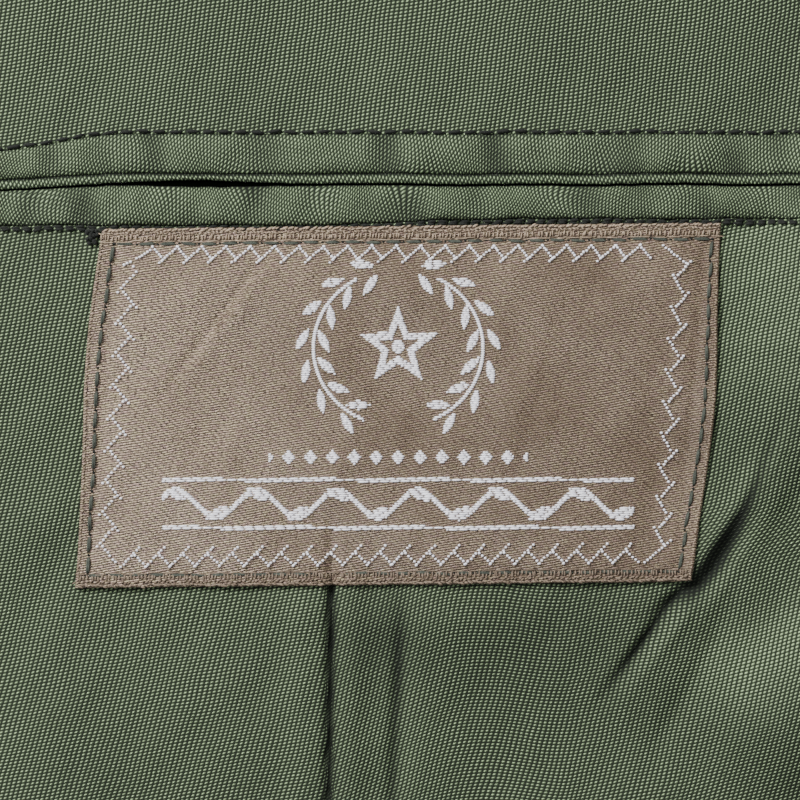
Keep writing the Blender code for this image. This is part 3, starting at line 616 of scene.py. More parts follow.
@dataclass(frozen=True)
class Finishes:
    """Every finish of the coat, made once."""

    wool: Finish
    lining: Finish
    welt: Finish
    pocket_shadow: Finish  # near-black cloth deep in the pocket mouth, painted shadow
    tape: Finish  # the label's ground
    tape_yarn: Finish
    shaded_cord_yarn: Finish
    silver_yarn: Finish
    dark_yarn: Finish
    black_yarn: Finish
    green_yarn: Finish
    brass: Finish

    @staticmethod
    def make() -> "Finishes":
        """Make each material from its finish.

        Returns:
            All of them.
        """
        # Milled serge: a steep twill under a short nap, so it looks almost plain and never shines.
        wool = TwillFinish("wool serge", "4A4C3A", "17190F", (0.9, -0.55), (0.1, 1.3), 0.10, 0.9,
                           0.35, drift=0.25, wander=9.0, nap=0.55, sharp=0.7, gloss=0.25)
        # Lining twill of filament yarn: bright dots of thread on near black gaps.
        lining = TwillFinish("viscose lining twill", "CDEBB2", "050B04", (1.49, -0.31),
                             (0.36, -1.98), 0.16, 0.42, sharp=1.5)
        # The same twill cut on the cross for the welts, so its rows stand steeper and closer.
        welt = TwillFinish("viscose lining twill, crosswise", "CFEDB4", "060C05", (2.03, 0.17),
                           (1.54, -1.33), 0.13, 0.42, wander=7.0, nap=0.04, sharp=1.35, patch=4.0)
        # Pocketing seen only through the slack mouth, coloured near black as painted shadow in the
        # mouth.
        pocket_shadow = YarnFinish("shaded pocketing", "060805", "020302", 1.0, sheen=0.0, gloss=0.0)
        # Selvedge yarns: matt tan loops round the label, and a darker copy for the lower edge as
        # painted shade.
        tape_yarn = YarnFinish("tan selvedge yarn", "D2BDA3", "644F3E", 0.5)
        shaded_cord_yarn = YarnFinish("shaded selvedge yarn", "A5927E", "44362A", 0.55)
        # Filament floats: the only whites, with a silky glint and a painted glow, an emission that
        # brightens them.
        silver_yarn = YarnFinish("silver-white filament", "FFFFFF", "F2F0F8", 0.3, sheen=0.6,
                                 painted_glow=0.35, gloss=1.0)
        # Sewing threads: dull spun cotton, dark enough to read as a line of holes and stitches; the
        # black one also stands as painted shadow in the label's needle holes.
        dark_yarn = YarnFinish("dark grey-green sewing thread", "60665B", "1A1E19", 0.6, 0.08)
        black_yarn = YarnFinish("black-green sewing thread", "20241E", "0A0C09", 0.7, 0.08)
        green_yarn = YarnFinish("green sewing thread", "55604A", "232A1E", 0.6, 0.08)
        # Woven satin: a close grain of tan floats, and brass: warm crowns under brown tarnish.
        made = [finish.make() for finish in (
            wool, lining, welt, pocket_shadow, SatinTape(), tape_yarn, shaded_cord_yarn, silver_yarn,
            dark_yarn, black_yarn, green_yarn, BrassFinish())]
        return Finishes(*made)


# --- the laid coat's form ---


@dataclass(frozen=True)
class Cut:
    """Sizes of the coat's cut and of the stack that it lies in, in mm."""

    neck_half: float = 75.0
    neck_drop: float = 10.0
    shoulder_x: float = 228.0
    shoulder_drop: float = 38.0  # below the neck point
    underarm_y: float = -240.0
    length: float = 750.0
    wool: float = 2.0
    lining: float = 1.0
    facing: float = 1.6
    seam: float = 0.3  # gap between two layers
    lining_depth: float = 2.5  # from a front's outer face
    closed_outer: float = 7.2  # height of a closed front's outer face
    edge_outer: float = 4.3  # its height at a seam
    edge_roll: float = 10.0  # width over which it rolls down
    fold_radius: float = 1.5
    facing_line: float = 44.0  # own-side x where the facing ends
    flap_over_sleeve: float = 8.2
    flap_over_floor: float = 0.6
    climb: float = 60.0  # from the body up to the sleeve
    sag_reach: float = 150.0
    label_x: float = 112.0  # own-side place of the label's middle
    label_y: float = -395.0
    left_sleeve_angle: float = 42.0
    right_sleeve_angle: float = 30.0
    sleeve_inside: float = 450.0
    bicep: float = 192.0
    cuff: float = 145.0
    front_flat: Pair = (352.0, 775.0)
    button_heights: tuple[float, ...] = (-335.0, -432.0, -529.0, -626.0)
    armhole: tuple[Pair, ...] = (  # height and distance from the centre
        (-240.0, 272.0), (-205.0, 236.0), (-165.0, 212.0), (-120.0, 205.0), (-75.0, 213.0),
        (-38.0, 228.0))
    side_seam: tuple[Pair, ...] = (
        (-750.0, 290.0), (-600.0, 277.0), (-430.0, 259.0), (-330.0, 262.0), (-240.0, 272.0))


CUT = Cut()

# Rows of a front from shoulder to hem: its free edge, and the height where it meets the side.
FRONT_ROWS = (
    # name,         edge_x, edge_y, side_y
    ("shoulder", 63.0, -4.0, -38.0),
    ("upper gorge", 38.0, -34.0, -62.0),
    ("gorge", 0.0, -57.0, -92.0),
    ("notch", -40.0, -80.0, -122.0),
    ("lapel tip", -62.0, -101.0, -150.0),
    ("lapel belly", -60.0, -160.0, -190.0),
    ("chest", -46.0, -220.0, -218.0),
    ("underarm", -31.0, -275.0, -240.0),
    ("break", -20.0, -325.0, -300.0),
    ("pocket", -20.0, -345.0, -345.0),
    ("under label", -20.0, -445.0, -445.0),
    ("hem", -20.0, -750.0, -750.0),
)
BREAK_ROW = 8


@dataclass(frozen=True)
class Crease:
    """A soft ridge of cloth from one point to another, fading at its ends."""

    start: Pair
    end: Pair
    width: float  # half width to the right of its direction
    height: float  # negative for a trough
    other: float = 0.0  # half width on the other side, 0 for the same

    def height_at(self, x: Array, y: Array) -> Array:
        """Height: a bell across the ridge, exp(-(c / w)^2), times soft ends along it.

        Args:
            x: Place across in mm.
            y: Place up in mm.
        Returns:
            Height in mm.
        """
        length = math.dist(self.start, self.end)
        dx, dy = (np.array(self.end) - np.array(self.start)) / length
        along = (x - self.start[0]) * dx + (y - self.start[1]) * dy
        across = (x - self.start[0]) * dy - (y - self.start[1]) * dx
        half = np.where(across > 0.0, self.width, self.other or self.width)
        fade = max(0.12 * length, 8.0)
        begun = soft_step((along + fade) / (2 * fade))
        ends = begun * soft_step((length + fade - along) / (2 * fade))
        return self.height * ends * np.exp(-((across / half) ** 2))


def creases(*rows: tuple[float, ...]) -> tuple[Crease, ...]:
    """Creases from rows of start x, y, end x, y, width, height, and other width if it differs."""
    return tuple(Crease(row[0:2], row[2:4], *row[4:]) for row in rows)


def crease_height(several: Iterable[Crease], x: Array, y: Array) -> Array:
    """Sum of several creases at places x and y.

    Args:
        several: The creases.
        x: Place across in mm.
        y: Place up in mm.
    Returns:
        Height in mm.
    """
    total = np.zeros(np.broadcast(x, y).shape)
    for crease in several:
        total = total + crease.height_at(x, y)
    return total


def outline_x(y: Array) -> Array:
    """Distance from the centre to the armhole above the underarm, or to the side seam below it."""
    above, below = (smooth_table(y, *zip(*line)) for line in (CUT.armhole, CUT.side_seam))
    return np.where(np.asarray(y) > CUT.underarm_y, above, below)


UNDERARM_X = float(outline_x(CUT.underarm_y))


def shoulder_y(x: Array) -> Array:
    """Height of the shoulder seam, straight, and of the back neck, a parabola.

    Args:
        x: Distance from the centre in mm, either side.
    Returns:
        Its y in mm.
    """
    x = np.abs(x)
    slope = CUT.shoulder_drop / (CUT.shoulder_x - CUT.neck_half)
    neck = -CUT.neck_drop * (1.0 - np.minimum(x / CUT.neck_half, 1.0) ** 2)
    return np.where(x > CUT.neck_half, -(x - CUT.neck_half) * slope, neck)


def to_side(x: Array, y: Array) -> Array:
    """Distance to the side seam below the underarm, and to the underarm's point above it."""
    corner = np.hypot(x - UNDERARM_X, y - CUT.underarm_y)
    return np.where(y < CUT.underarm_y, outline_x(y) - x, corner)


def closed_outer(x: Array, y: Array) -> Array:
    """Height of a closed front's outer face: level, rolling down to its side and shoulder seams.

    Args:
        x: Own-side x in mm.
        y: Its y.
    Returns:
        Height in mm.
    """
    to_shoulder = np.where(x > CUT.neck_half, shoulder_y(x) - y, shoulder_y(CUT.neck_half) - y)
    rise = soft_step(np.minimum(to_side(x, y), to_shoulder) / CUT.edge_roll)
    return CUT.edge_outer + (CUT.closed_outer - CUT.edge_outer) * rise


def sleeve_axes(angle: float) -> tuple[Array, Array]:
    """Direction down a sleeve and the direction across it, outwards."""
    turn = math.radians(angle)
    return np.array([math.sin(turn), -math.cos(turn)]), np.array([math.cos(turn), math.sin(turn)])


def flap_outer(x: Array, y: Array) -> Array:
    """Height of the turned front's lower face: on the body, on the sleeve, sagging between them.

    Args:
        x: Place across in mm.
        y: Place up in mm.
    Returns:
        Height in mm.
    """
    beyond_body = np.maximum(x - outline_x(np.minimum(y, CUT.underarm_y)), 0.0)
    across = sleeve_axes(CUT.left_sleeve_angle)[1]
    rel = stack(x - UNDERARM_X, y - CUT.underarm_y)
    short_of_sleeve = np.maximum(-(rel @ across), 0.0)
    over_body = CUT.closed_outer + 2.0 * CUT.fold_radius
    held = over_body + (CUT.flap_over_sleeve - over_body) * soft_step(beyond_body / CUT.climb)
    sag = soft_step(beyond_body / CUT.sag_reach) * soft_step(short_of_sleeve / CUT.sag_reach)
    return CUT.flap_over_floor + (held - CUT.flap_over_floor) * (1.0 - sag)


def lapel_outer(x: Array, y: Array) -> Array:
    """Height of the rolled lapel's lower face above the right front."""
    return closed_outer(x, y) + 1.0


@dataclass(frozen=True)
class TurnLine:
    """A line over which a front turns back on itself."""

    start: Pair
    end: Pair
    bulge: float  # how far its middle swells to the side
    radius: float  # inner radius of the roll
    cloth: float  # cloth that the roll takes up
    height: Callable[[Array, Array], Array]  # of the turned part's lower face

    @property
    def along(self) -> Array:
        """Direction of the line."""
        return (np.array(self.end) - np.array(self.start)) / math.dist(self.start, self.end)

    @property
    def out(self) -> Array:
        """Direction from the line towards the side seam."""
        return np.array([-self.along[1], self.along[0]])

    def measure(self, x: Array, y: Array) -> tuple[Array, Array, Array]:
        """Place along the line, distance beyond it, and its swell there: bulge * sin(pi share)^2.

        Args:
            x: Own-side x in mm.
            y: Its y.
        Returns:
            The three, in mm.
        """
        rel = stack(x - self.start[0], y - self.start[1])
        along = rel @ self.along
        share = np.clip(along / math.dist(self.start, self.end), 0.0, 1.0)
        swell = self.bulge * np.sin(math.pi * share) ** 2
        return along, rel @ self.out - swell, swell

    def place(self, x: Array, y: Array, depth: Any) -> Array:
        """Turn points over the line: level, then a half ellipse, then mirrored and level again.

        Args:
            x: Own-side x.
            y: Its y.
            depth: Depth from the outer face towards the wearer.
        Returns:
            Points in mm.
        """
        along, beyond, swell = self.measure(x, y)
        angle = math.pi * np.clip(-beyond / self.cloth, 0.0, 1.0)
        level = np.where(beyond > 0.0, beyond, np.maximum(-beyond - self.cloth, 0.0))
        side = level - (self.radius + depth) * np.sin(angle) + swell
        plan = np.array(self.start) + along[..., None] * self.along + side[..., None] * self.out
        below = closed_outer(np.where(beyond > 0.0, x, plan[..., 0]), plan[..., 1])
        above = self.height(plan[..., 0], plan[..., 1])
        z = 0.5 * (above + below) - (0.5 * (above - below) + depth) * np.cos(angle)
        return stack(plan[..., 0], plan[..., 1], z)


LEFT_TURN = TurnLine((75.0, 0.0), (266.0, -750.0), 20.0, CUT.fold_radius, 9.4, flap_outer)
RIGHT_TURN = TurnLine(FRONT_ROWS[0][1:3], FRONT_ROWS[BREAK_ROW][1:3], 0.0, 0.5, 6.3, lapel_outer)


def front_row(at: float) -> tuple[Pair, Pair]:
    """Free-edge point and side point of the front at a row number, whole or between.

    Args:
        at: Row number.
    Returns:
        Both points in own-side mm.
    """
    number = np.arange(len(FRONT_ROWS))
    edge_x, edge_y, side_y = (float(np.interp(at, number, [row[k] for row in FRONT_ROWS]))
                              for k in (1, 2, 3))
    return (edge_x, edge_y), (float(outline_x(side_y)), side_y)


def row_point(at: float, t: Array) -> tuple[Array, Array]:
    """Points along a front row, from 0 at the free edge to 1 at the side."""
    edge, side = front_row(at)
    return edge[0] + (side[0] - edge[0]) * t, edge[1] + (side[1] - edge[1]) * t


def row_length(at: float) -> float:
    """Length of a front row in mm."""
    return math.dist(*front_row(at))


def crossing(turn: TurnLine, at: float, beyond: float) -> Optional[float]:
    """How far along a row it lies a given distance beyond the turn line, or None.

    Args:
        turn: The line.
        at: Row number.
        beyond: Distance towards the side in mm.
    Returns:
        Share along the row, or None where the row starts beyond it.
    """
    t = np.linspace(0.0, 1.0, 400)
    distance = turn.measure(*row_point(at, t))[1]
    return None if distance[0] > beyond - 1.0 else float(np.interp(beyond, distance, t))


def facing_line(at: float) -> float:
    """How far along a left row the facing ends: it narrows to the neck.

    Args:
        at: Row number.
    Returns:
        Share along the row.
    """
    edge, side = front_row(at)
    wanted = (CUT.facing_line - edge[0]) / (side[0] - edge[0])
    fold_end = crossing(LEFT_TURN, at, -LEFT_TURN.cloth)
    top = float(soft_step(np.array((at - 0.6) / 6.0)))
    return fold_end * 0.9 * (1.0 - top) + min(wanted, fold_end * 0.9) * top


def mirrored(points: Array) -> Array:
    """The same points on the wearer's right."""
    return points * np.array([-1.0, 1.0, 1.0])


# --- the turned left front: lining, inside pocket and label ---

# Folds of the front lining beside the label, by place along and up it.
LINING_CREASES = creases(
    # The long fold beside the label: a plateau, a sharp trough in short bends, the ridge beyond it.
    (58.0, -2.0, 33.0, -42.0, 9.0, 1.3),
    (54.5, -5.8, 50.9, -14.6, 0.55, -0.9, 1.6),
    (50.9, -14.6, 47.4, -20.6, 0.7, -1.7, 2.2),
    (47.8, -20.0, 44.2, -25.4, 1.25, -3.0, 2.6),
    (49.4, -19.4, 44.8, -26.2, 0.9, -1.5, 1.6),
    (44.6, -25.2, 40.2, -28.2, 0.75, -1.8, 2.2),
    (40.2, -28.2, 31.8, -39.8, 0.55, -1.3, 2.0),
    (56.5, -6.0, 36.0, -40.0, 2.0, 1.9, 6.5),
    (55.1, -7.3, 48.8, -21.2, 0.6, 0.5, 0.8),
    (48.8, -21.2, 37.6, -37.2, 0.6, 0.55, 0.8),
    (61.0, -8.0, 54.0, -22.0, 1.2, -0.35, 2.0),
    (54.0, -18.0, 46.0, -32.0, 0.9, -0.35, 1.6),
    (47.0, -33.0, 37.0, -52.0, 1.4, -0.4),
    # The rises right of the label and at the foot of the fold.
    (78.0, -32.0, 50.0, -50.0, 11.0, 6.5),
    (73.0, 36.0, 63.0, -5.0, 14.5, 5.6, 9.0),
    (0.0, -23.5, 34.0, -24.0, 13.0, 1.3),
    # The tuck under the label.
    (-9.9, -22.0, -10.4, -62.0, 0.45, -1.5, 0.9),
    (-13.5, -24.0, -14.0, -62.0, 3.0, 0.9, 5.0),
    (-6.5, -24.0, -7.0, -62.0, 2.2, 0.7, 2.2),
    (0.2, -32.0, -1.2, -62.0, 0.7, -0.8, 1.4),
    (4.0, -30.0, 3.5, -62.0, 3.0, 0.7, 6.0),
    (-20.0, -30.0, 14.0, -33.0, 3.0, 0.5),
    # Small drags to the label's sewn edges.
    (48.0, 16.0, 56.0, 20.0, 1.3, 0.35),
    (47.0, 8.0, 58.0, 9.0, 1.6, 0.4),
    (46.5, 24.0, 60.0, 29.5, 1.0, -0.45, 2.5),
    (-46.0, -12.0, -58.0, -20.0, 3.5, 0.45),
    (-48.0, -22.0, -58.0, -36.0, 2.5, -0.35, 4.0),
    # Broad folds away from it.
    (-56.0, -40.0, -40.0, -150.0, 14.0, 2.4),
    (20.0, -90.0, 30.0, -290.0, 18.0, 3.0),
    (-90.0, -120.0, -70.0, -300.0, 18.0, 2.8),
    (-30.0, -200.0, -12.0, -330.0, 14.0, 2.0),
    (-60.0, 60.0, -40.0, 150.0, 10.0, 1.6),
    (30.0, 50.0, 10.0, 130.0, 12.0, 1.6),
)


# Painted shade below the label: the lining's colour darkened towards its gaps there.
PAINTED_SHADE_ZONES = creases(
    (-3.5, -27.0, -1.0, -42.0, 7.0, 0.42),
    (12.0, -33.0, 34.0, -33.0, 8.0, 0.27),
)
# Painted highlight beside the label: the lining's colour lightened there.
PAINTED_HIGHLIGHT_ZONES = creases(
    (57.0, 30.0, 53.0, 8.0, 8.0, 0.55, 9.0),
    (65.0, -28.0, 44.0, -38.5, 3.0, 0.55, 7.0),
)


class TurnedFront:
    """Places on the turned front, by the label's own directions p along it and r up it."""

    depth = CUT.lining_depth + CUT.lining

    def __init__(self) -> None:
        """Find the label's middle and directions on the turned cloth."""
        x, y = np.array([0.0, -20.0, 20.0]) + CUT.label_x, np.full(3, CUT.label_y)
        middle, ahead, behind = LEFT_TURN.place(x, y, self.depth)
        self.middle = middle[:2]
        self.right = unit((ahead - behind)[:2])
        self.up = np.array([-self.right[1], self.right[0]])

    def label_place(self, x: Array, y: Array) -> tuple[Array, Array]:
        """Place along and up the label of a point of the closed front, once it is turned."""
        rel = LEFT_TURN.place(x, y, self.depth)[..., :2] - self.middle
        return rel @ self.right, rel @ self.up

    def cloth_place(self, p: Array, r: Array) -> tuple[Array, Array]:
        """The opposite of label_place: four steps that each add what is still missing.

        Args:
            p: Place along the label in mm.
            r: Place up it.
        Returns:
            Own-side x and y.
        """
        p, r = np.broadcast_arrays(np.asarray(p, float), np.asarray(r, float))
        x, y = CUT.label_x - p, CUT.label_y + r
        for _ in range(4):
            got_p, got_r = self.label_place(x, y)
            x, y = x - (p - got_p), y + (r - got_r)
        return x, y

    def lift(self, x: Array, y: Array) -> Array:
        """How far the lining stands off its cloth: its creases and a small unevenness.

        Args:
            x: Own-side x in mm.
            y: Its y.
        Returns:
            Height in mm, 0 at the fold.
        """
        p, r = self.label_place(x, y)
        height = crease_height(LINING_CREASES, p, r) + 0.28 * ripple(p, r, 24.0, 4) + 0.35
        height = height + 0.10 * ripple(p, r, 9.5, 9) + 0.03 * ripple(p, r, 4.0, 10)
        height = np.maximum(height, -0.55)
        return height * soft_step((-LEFT_TURN.measure(x, y)[1] - LEFT_TURN.cloth) / 12.0)

    def painted_shading(self, x: Array, y: Array) -> Array:
        """Painted shading of the lining: up to 1 for painted shade in tight folds and below the
        label, below 0 for a painted highlight beside it.

        Args:
            x: Own-side x in mm.
            y: Its y.
        Returns:
            Values from -1 to 1.
        """
        p, r = self.label_place(x, y)
        tight = [Crease(c.start, c.end, 0.8 * c.width + 0.1, c.height, 0.9)
                 for c in LINING_CREASES if c.height < -0.6 and c.width < 1.3]
        painted_dark = crease_height(PAINTED_SHADE_ZONES, p, r) * soft_step((p + 10.4) / 0.7)
        shown = painted_dark - crease_height(PAINTED_HIGHLIGHT_ZONES, p, r)
        return np.clip(shown - crease_height(tight, p, r) / 1.15, -1.0, 1.0)

    def lining_point(self, p: Array, r: Array, height: Any) -> Array:
        """Points a height above the front lining's face.

        Args:
            p: Place along the label in mm.
            r: Place up it.
            height: Height above the lining in mm.
        Returns:
            Points in mm.
        """
        x, y = self.cloth_place(p, r)
        points = LEFT_TURN.place(x, y, self.depth + height)
        points[..., 2] += self.lift(x, y)
        return points


@dataclass
class FrontLining:
    """The twill lining of the turned front, from the facing round the fold to the side seam."""

    front: TurnedFront
    finishes: Finishes
    flap_columns: int = 218
    bend_columns: int = 12
    under_columns: int = 5
    side_inset: float = 12.0  # how far it ends from the side seam

    def row_numbers(self) -> Array:
        """Rows close together beside the label and wider apart above and below it."""
        return np.concatenate([np.linspace(1.0, 9.0, 34)[:-1], np.linspace(9.0, 10.08, 150)[:-1],
                               np.linspace(10.08, 10.945, 26)])

    def flap_shares(self, at: float, start: float, end: float) -> Array:
        """Shares along a row, three times as close in the label's reach as outside it.

        Args:
            at: Row number.
            start: First share.
            end: Share where the fold begins.
        Returns:
            Rising shares up to but not including the end.
        """
        fine = np.linspace(0.0, 1.0, 801)
        x = row_point(at, start + (end - start) * fine)[0]
        weight = np.cumsum(1.0 + 2.0 * (np.abs(CUT.label_x - x) < 64.0))
        wanted = np.linspace(weight[0], weight[-1], self.flap_columns + 1)[:-1]
        return start + (end - start) * np.interp(wanted, weight, fine)

    def flat_place(self, x: Array, y: Array) -> Array:
        """Place on the flat cloth: the tuck under the label takes some up and turns the rows.

        Args:
            x: Own-side x in mm.
            y: Its y.
        Returns:
            Places in mm, n by 2.
        """
        p, r = self.front.label_place(x, y)
        below = soft_step((-14.0 - r) / 10.0)
        past = soft_step((p + 10.4) / 0.7) * soft_step((80.0 - p) / 20.0)
        slant = 0.22 * (p + 10.0) * past * soft_step((26.0 - p) / 24.0)
        beside = 0.10 * (p - 44.0) * soft_step((p - 40.0) / 8.0) * soft_step((80.0 - p) / 20.0)
        return np.stack([CUT.label_x - x + 3.7 * past * below + 0.15 * slant * below,
                         y - CUT.label_y - slant * below - beside], axis=-1)

    def row(self, at: float) -> tuple[Array, Array, Array]:
        """One row of the lining, from the facing over the fold to near the side.

        Args:
            at: Row number.
        Returns:
            Points, places on the cloth, and painted shading.
        """
        start = facing_line(at) + BUTT_GAP / row_length(at)
        bend_from = crossing(LEFT_TURN, at, -LEFT_TURN.cloth)
        bend_to = crossing(LEFT_TURN, at, 0.0)
        end = max(1.0 - self.side_inset / row_length(at), bend_to + 6.0 / row_length(at))
        t = np.concatenate([self.flap_shares(at, start, bend_from),
                            np.linspace(bend_from, bend_to, self.bend_columns + 1)[:-1],
                            np.linspace(bend_to, end, self.under_columns)])
        x, y = row_point(at, t)
        face = LEFT_TURN.place(x, y, self.front.depth)
        face[..., 2] += self.front.lift(x, y)
        return face, self.flat_place(x, y), self.front.painted_shading(x, y)

    def build(self) -> None:
        """Make the lining as one sheet of cloth."""
        points, uv, shade = by_rows(self.row_numbers(), self.row)
        Panel("front_lining_left_cloth", points, uv, 0.8, self.finishes.lining, "lining",
              ("front_lining_left",), (330.0, 720.0), rests_on=("front_left_wool",),
              shade=shade).build()


@dataclass
class InsidePocket:
    """Two jetted welts along the pocket mouth, the band that shows in it, and its stitching."""

    front: TurnedFront
    finishes: Finishes
    from_p: float = -62.0  # left end along the label
    to_p: float = 62.0
    upper: Pair = (33.85, 39.7)  # lower and upper edge up the label
    lower: Pair = (26.3, 32.15)
    slack_at: float = -29.0
    slack_half: float = 9.0
    slack: float = 0.62

    def opening(self, p: Array) -> Array:
        """How far the mouth stands open: a bell where it is slack."""
        return self.slack * np.exp(-(((p - self.slack_at) / self.slack_half) ** 2))

    def edge(self, p: Array, name: str) -> Array:
        """Height up the label of one edge of the mouth's parts, each a little uneven.

        Args:
            p: Places along.
            name: Which edge.
        Returns:
            Places up it in mm.
        """
        wave = 0.10 * ripple(p, 0.0 * p, 14.0, 21) + 0.04 * ripple(p, 0.0 * p, 4.0, 22)
        drop = 2.5 * soft_step((-40.0 - p) / 20.0)
        rise = 1.0 * soft_step((p + 16.0) / 34.0)
        table = {
            "upper top": self.upper[1] - drop + 0.5 * wave,
            "upper bottom": self.upper[0] - 0.35 * drop + wave,
            "band bottom": self.upper[0] - 1.42 - 0.35 * drop + wave + 0.75 * self.opening(p),
            "band top": self.upper[0] - 0.22 - 0.35 * drop + wave - 0.1 * self.opening(p),
            "lower top": self.lower[1] - 0.3 * drop + wave - 0.35 * self.opening(p),
            "lower bottom": self.lower[0] + rise + 0.12 * ripple(p, 0.0 * p, 6.0, 23),
        }
        return table[name]

    def welt(self, name: str, seed: int, crown: float) -> None:
        """One welt: a rolled strip along the mouth, a flattened half round with puckers.

        Args:
            name: "upper" or "lower".
            seed: Seed of its puckers.
            crown: Height of its roll in mm.
        """
        p = np.linspace(self.from_p, self.to_p, 380)[None, :]
        share = np.linspace(0.0, 1.0, 28)[:, None]
        bottom, top = self.edge(p, name + " bottom"), self.edge(p, name + " top")
        r = bottom + (top - bottom) * share
        roll = np.maximum(1.0 - np.abs(2.0 * share - 1.0) ** 2.4, 0.0) ** 0.5
        toward_seam = share if name == "upper" else 1.0 - share
        drag = ripple(p + 1.4 * share, 0.0 * p + 2.0 * share, 8.5, seed)
        fine = 0.12 * ripple(p, 4.0 * share, 3.6, seed + 1)
        pucker = 0.58 * drag * (0.4 + 0.6 * toward_seam) + fine
        swell = 1.0 + 0.12 * ripple(p, 0.0 * p, 18.0, seed + 2)
        height = 0.04 + crown * roll * swell + pucker * roll
        points = self.front.lining_point(p + 0.0 * share, r, height)
        bend = 1.5 * ripple(p, 2.5 * share, 9.0, seed + 3) * (1.0 - toward_seam)
        uv = stack(p + bend, 6.6 * share + 0.4 * bend)
        # Painted shade: darker towards the welt's rolled edges and in its pucker troughs.
        shade = 0.6 * (1.0 - roll + 0.0 * p) ** 2 + 0.45 * np.maximum(-drag, 0.0)
        Panel(f"welt_{name}_cloth", points, uv, 0.5, self.finishes.welt, "lining",
              (f"inside_welt_{name}",), (self.to_p - self.from_p, 15.0), "folded",
              ("front_lining_left_cloth",), shade=shade).build()

    def strip(self, name: str, low: Array, high: Array, height: float, crown: float,
              material: Finish, tuck: float = 0.0) -> None:
        """A narrow strip along the mouth: a half sine across it, then a flat part under a welt.

        Args:
            name: Name of the piece.
            low: Its lower edge at each place along.
            high: The upper edge of its rounded part.
            height: Height of its lower edge above the lining.
            crown: Rise of its middle.
            material: Its cloth.
            tuck: Width of the flat part in mm.
        """
        p = self.mouth()[None, :]
        share = np.linspace(0.0, 1.6 if tuck else 1.0, 17)[:, None]
        round_part, flat_part = np.minimum(share, 1.0), np.maximum(share - 1.0, 0.0) / 0.6
        r = low + (high - low) * round_part + tuck * flat_part
        sink = 1.0 - 0.85 * soft_step((share - 0.8) / 0.3)
        rise = height * sink + crown * np.sin(math.pi * round_part)
        points = self.front.lining_point(p + 0.0 * share, r, rise)
        uv = stack(p + 0.4 * share, r + 90.0)
        # Painted shade on the band: darker where it dips under the upper welt and along its lower
        # edge.
        shade = soft_step((share - 0.85) / 0.2) + 0.5 * soft_step((0.15 - share) / 0.15) + 0.0 * p
        Panel(name, points, uv, 0.25, material, "lining", (),
              (self.to_p - self.from_p - 4.0, 10.0), "folded", ("front_lining_left_cloth",),
              shade=shade if tuck else None).build()

    def mouth(self) -> Array:
        """Places along the mouth, a little short of the welts' ends."""
        return np.linspace(self.from_p + 2.0, self.to_p - 2.0, 170)

    def seam(self, name: str, p: Array, r: Array, pitch: float, radius: float,
             height: float) -> None:
        """A dark machine seam along the pocket at places p, r."""
        path = self.front.lining_point(p, r, height)
        sew(name, path, pitch, radius, self.finishes.black_yarn, "lining", 0.12)

    def build(self) -> None:
        """Make the pocket."""
        self.welt("upper", 41, 1.0)
        self.welt("lower", 51, 1.05)
        p = self.mouth()
        self.strip("pocket_mouth_band", self.edge(p, "band bottom"), self.edge(p, "band top"),
                   0.5, 0.35, self.finishes.welt, tuck=1.8)
        # A near-black strip deep in the mouth: painted shadow.
        self.strip("pocket_mouth_shadow", self.edge(p, "lower top") - 1.2,
                   self.edge(p, "upper bottom") + 1.2, 0.03, 0.02, self.finishes.pocket_shadow)
        rng = np.random.default_rng(8)
        p = np.linspace(-60.0, 60.0, 300)
        jitter = 0.12 * rng.normal(size=300)
        self.seam("pocket_upper_seam", p, self.edge(p, "upper top") + 0.35 + jitter,
                  2.6, 0.30, 0.25)
        for number, offset in enumerate((0.25, 0.6)):
            jitter = 0.10 * rng.normal(size=300)
            r = self.edge(p, "lower bottom") - offset + jitter
            self.seam(f"pocket_lower_seam_{number}", p, r, 1.7, 0.26, 0.28)
        turn = np.linspace(0.0, 11.0, 60)
        knot_p = -44.3 + 1.5 * np.cos(turn) * np.sin(0.7 * turn)
        self.seam("thread_knot", knot_p, 24.6 + 1.1 * np.sin(1.3 * turn), 1.0, 0.3, 0.5)


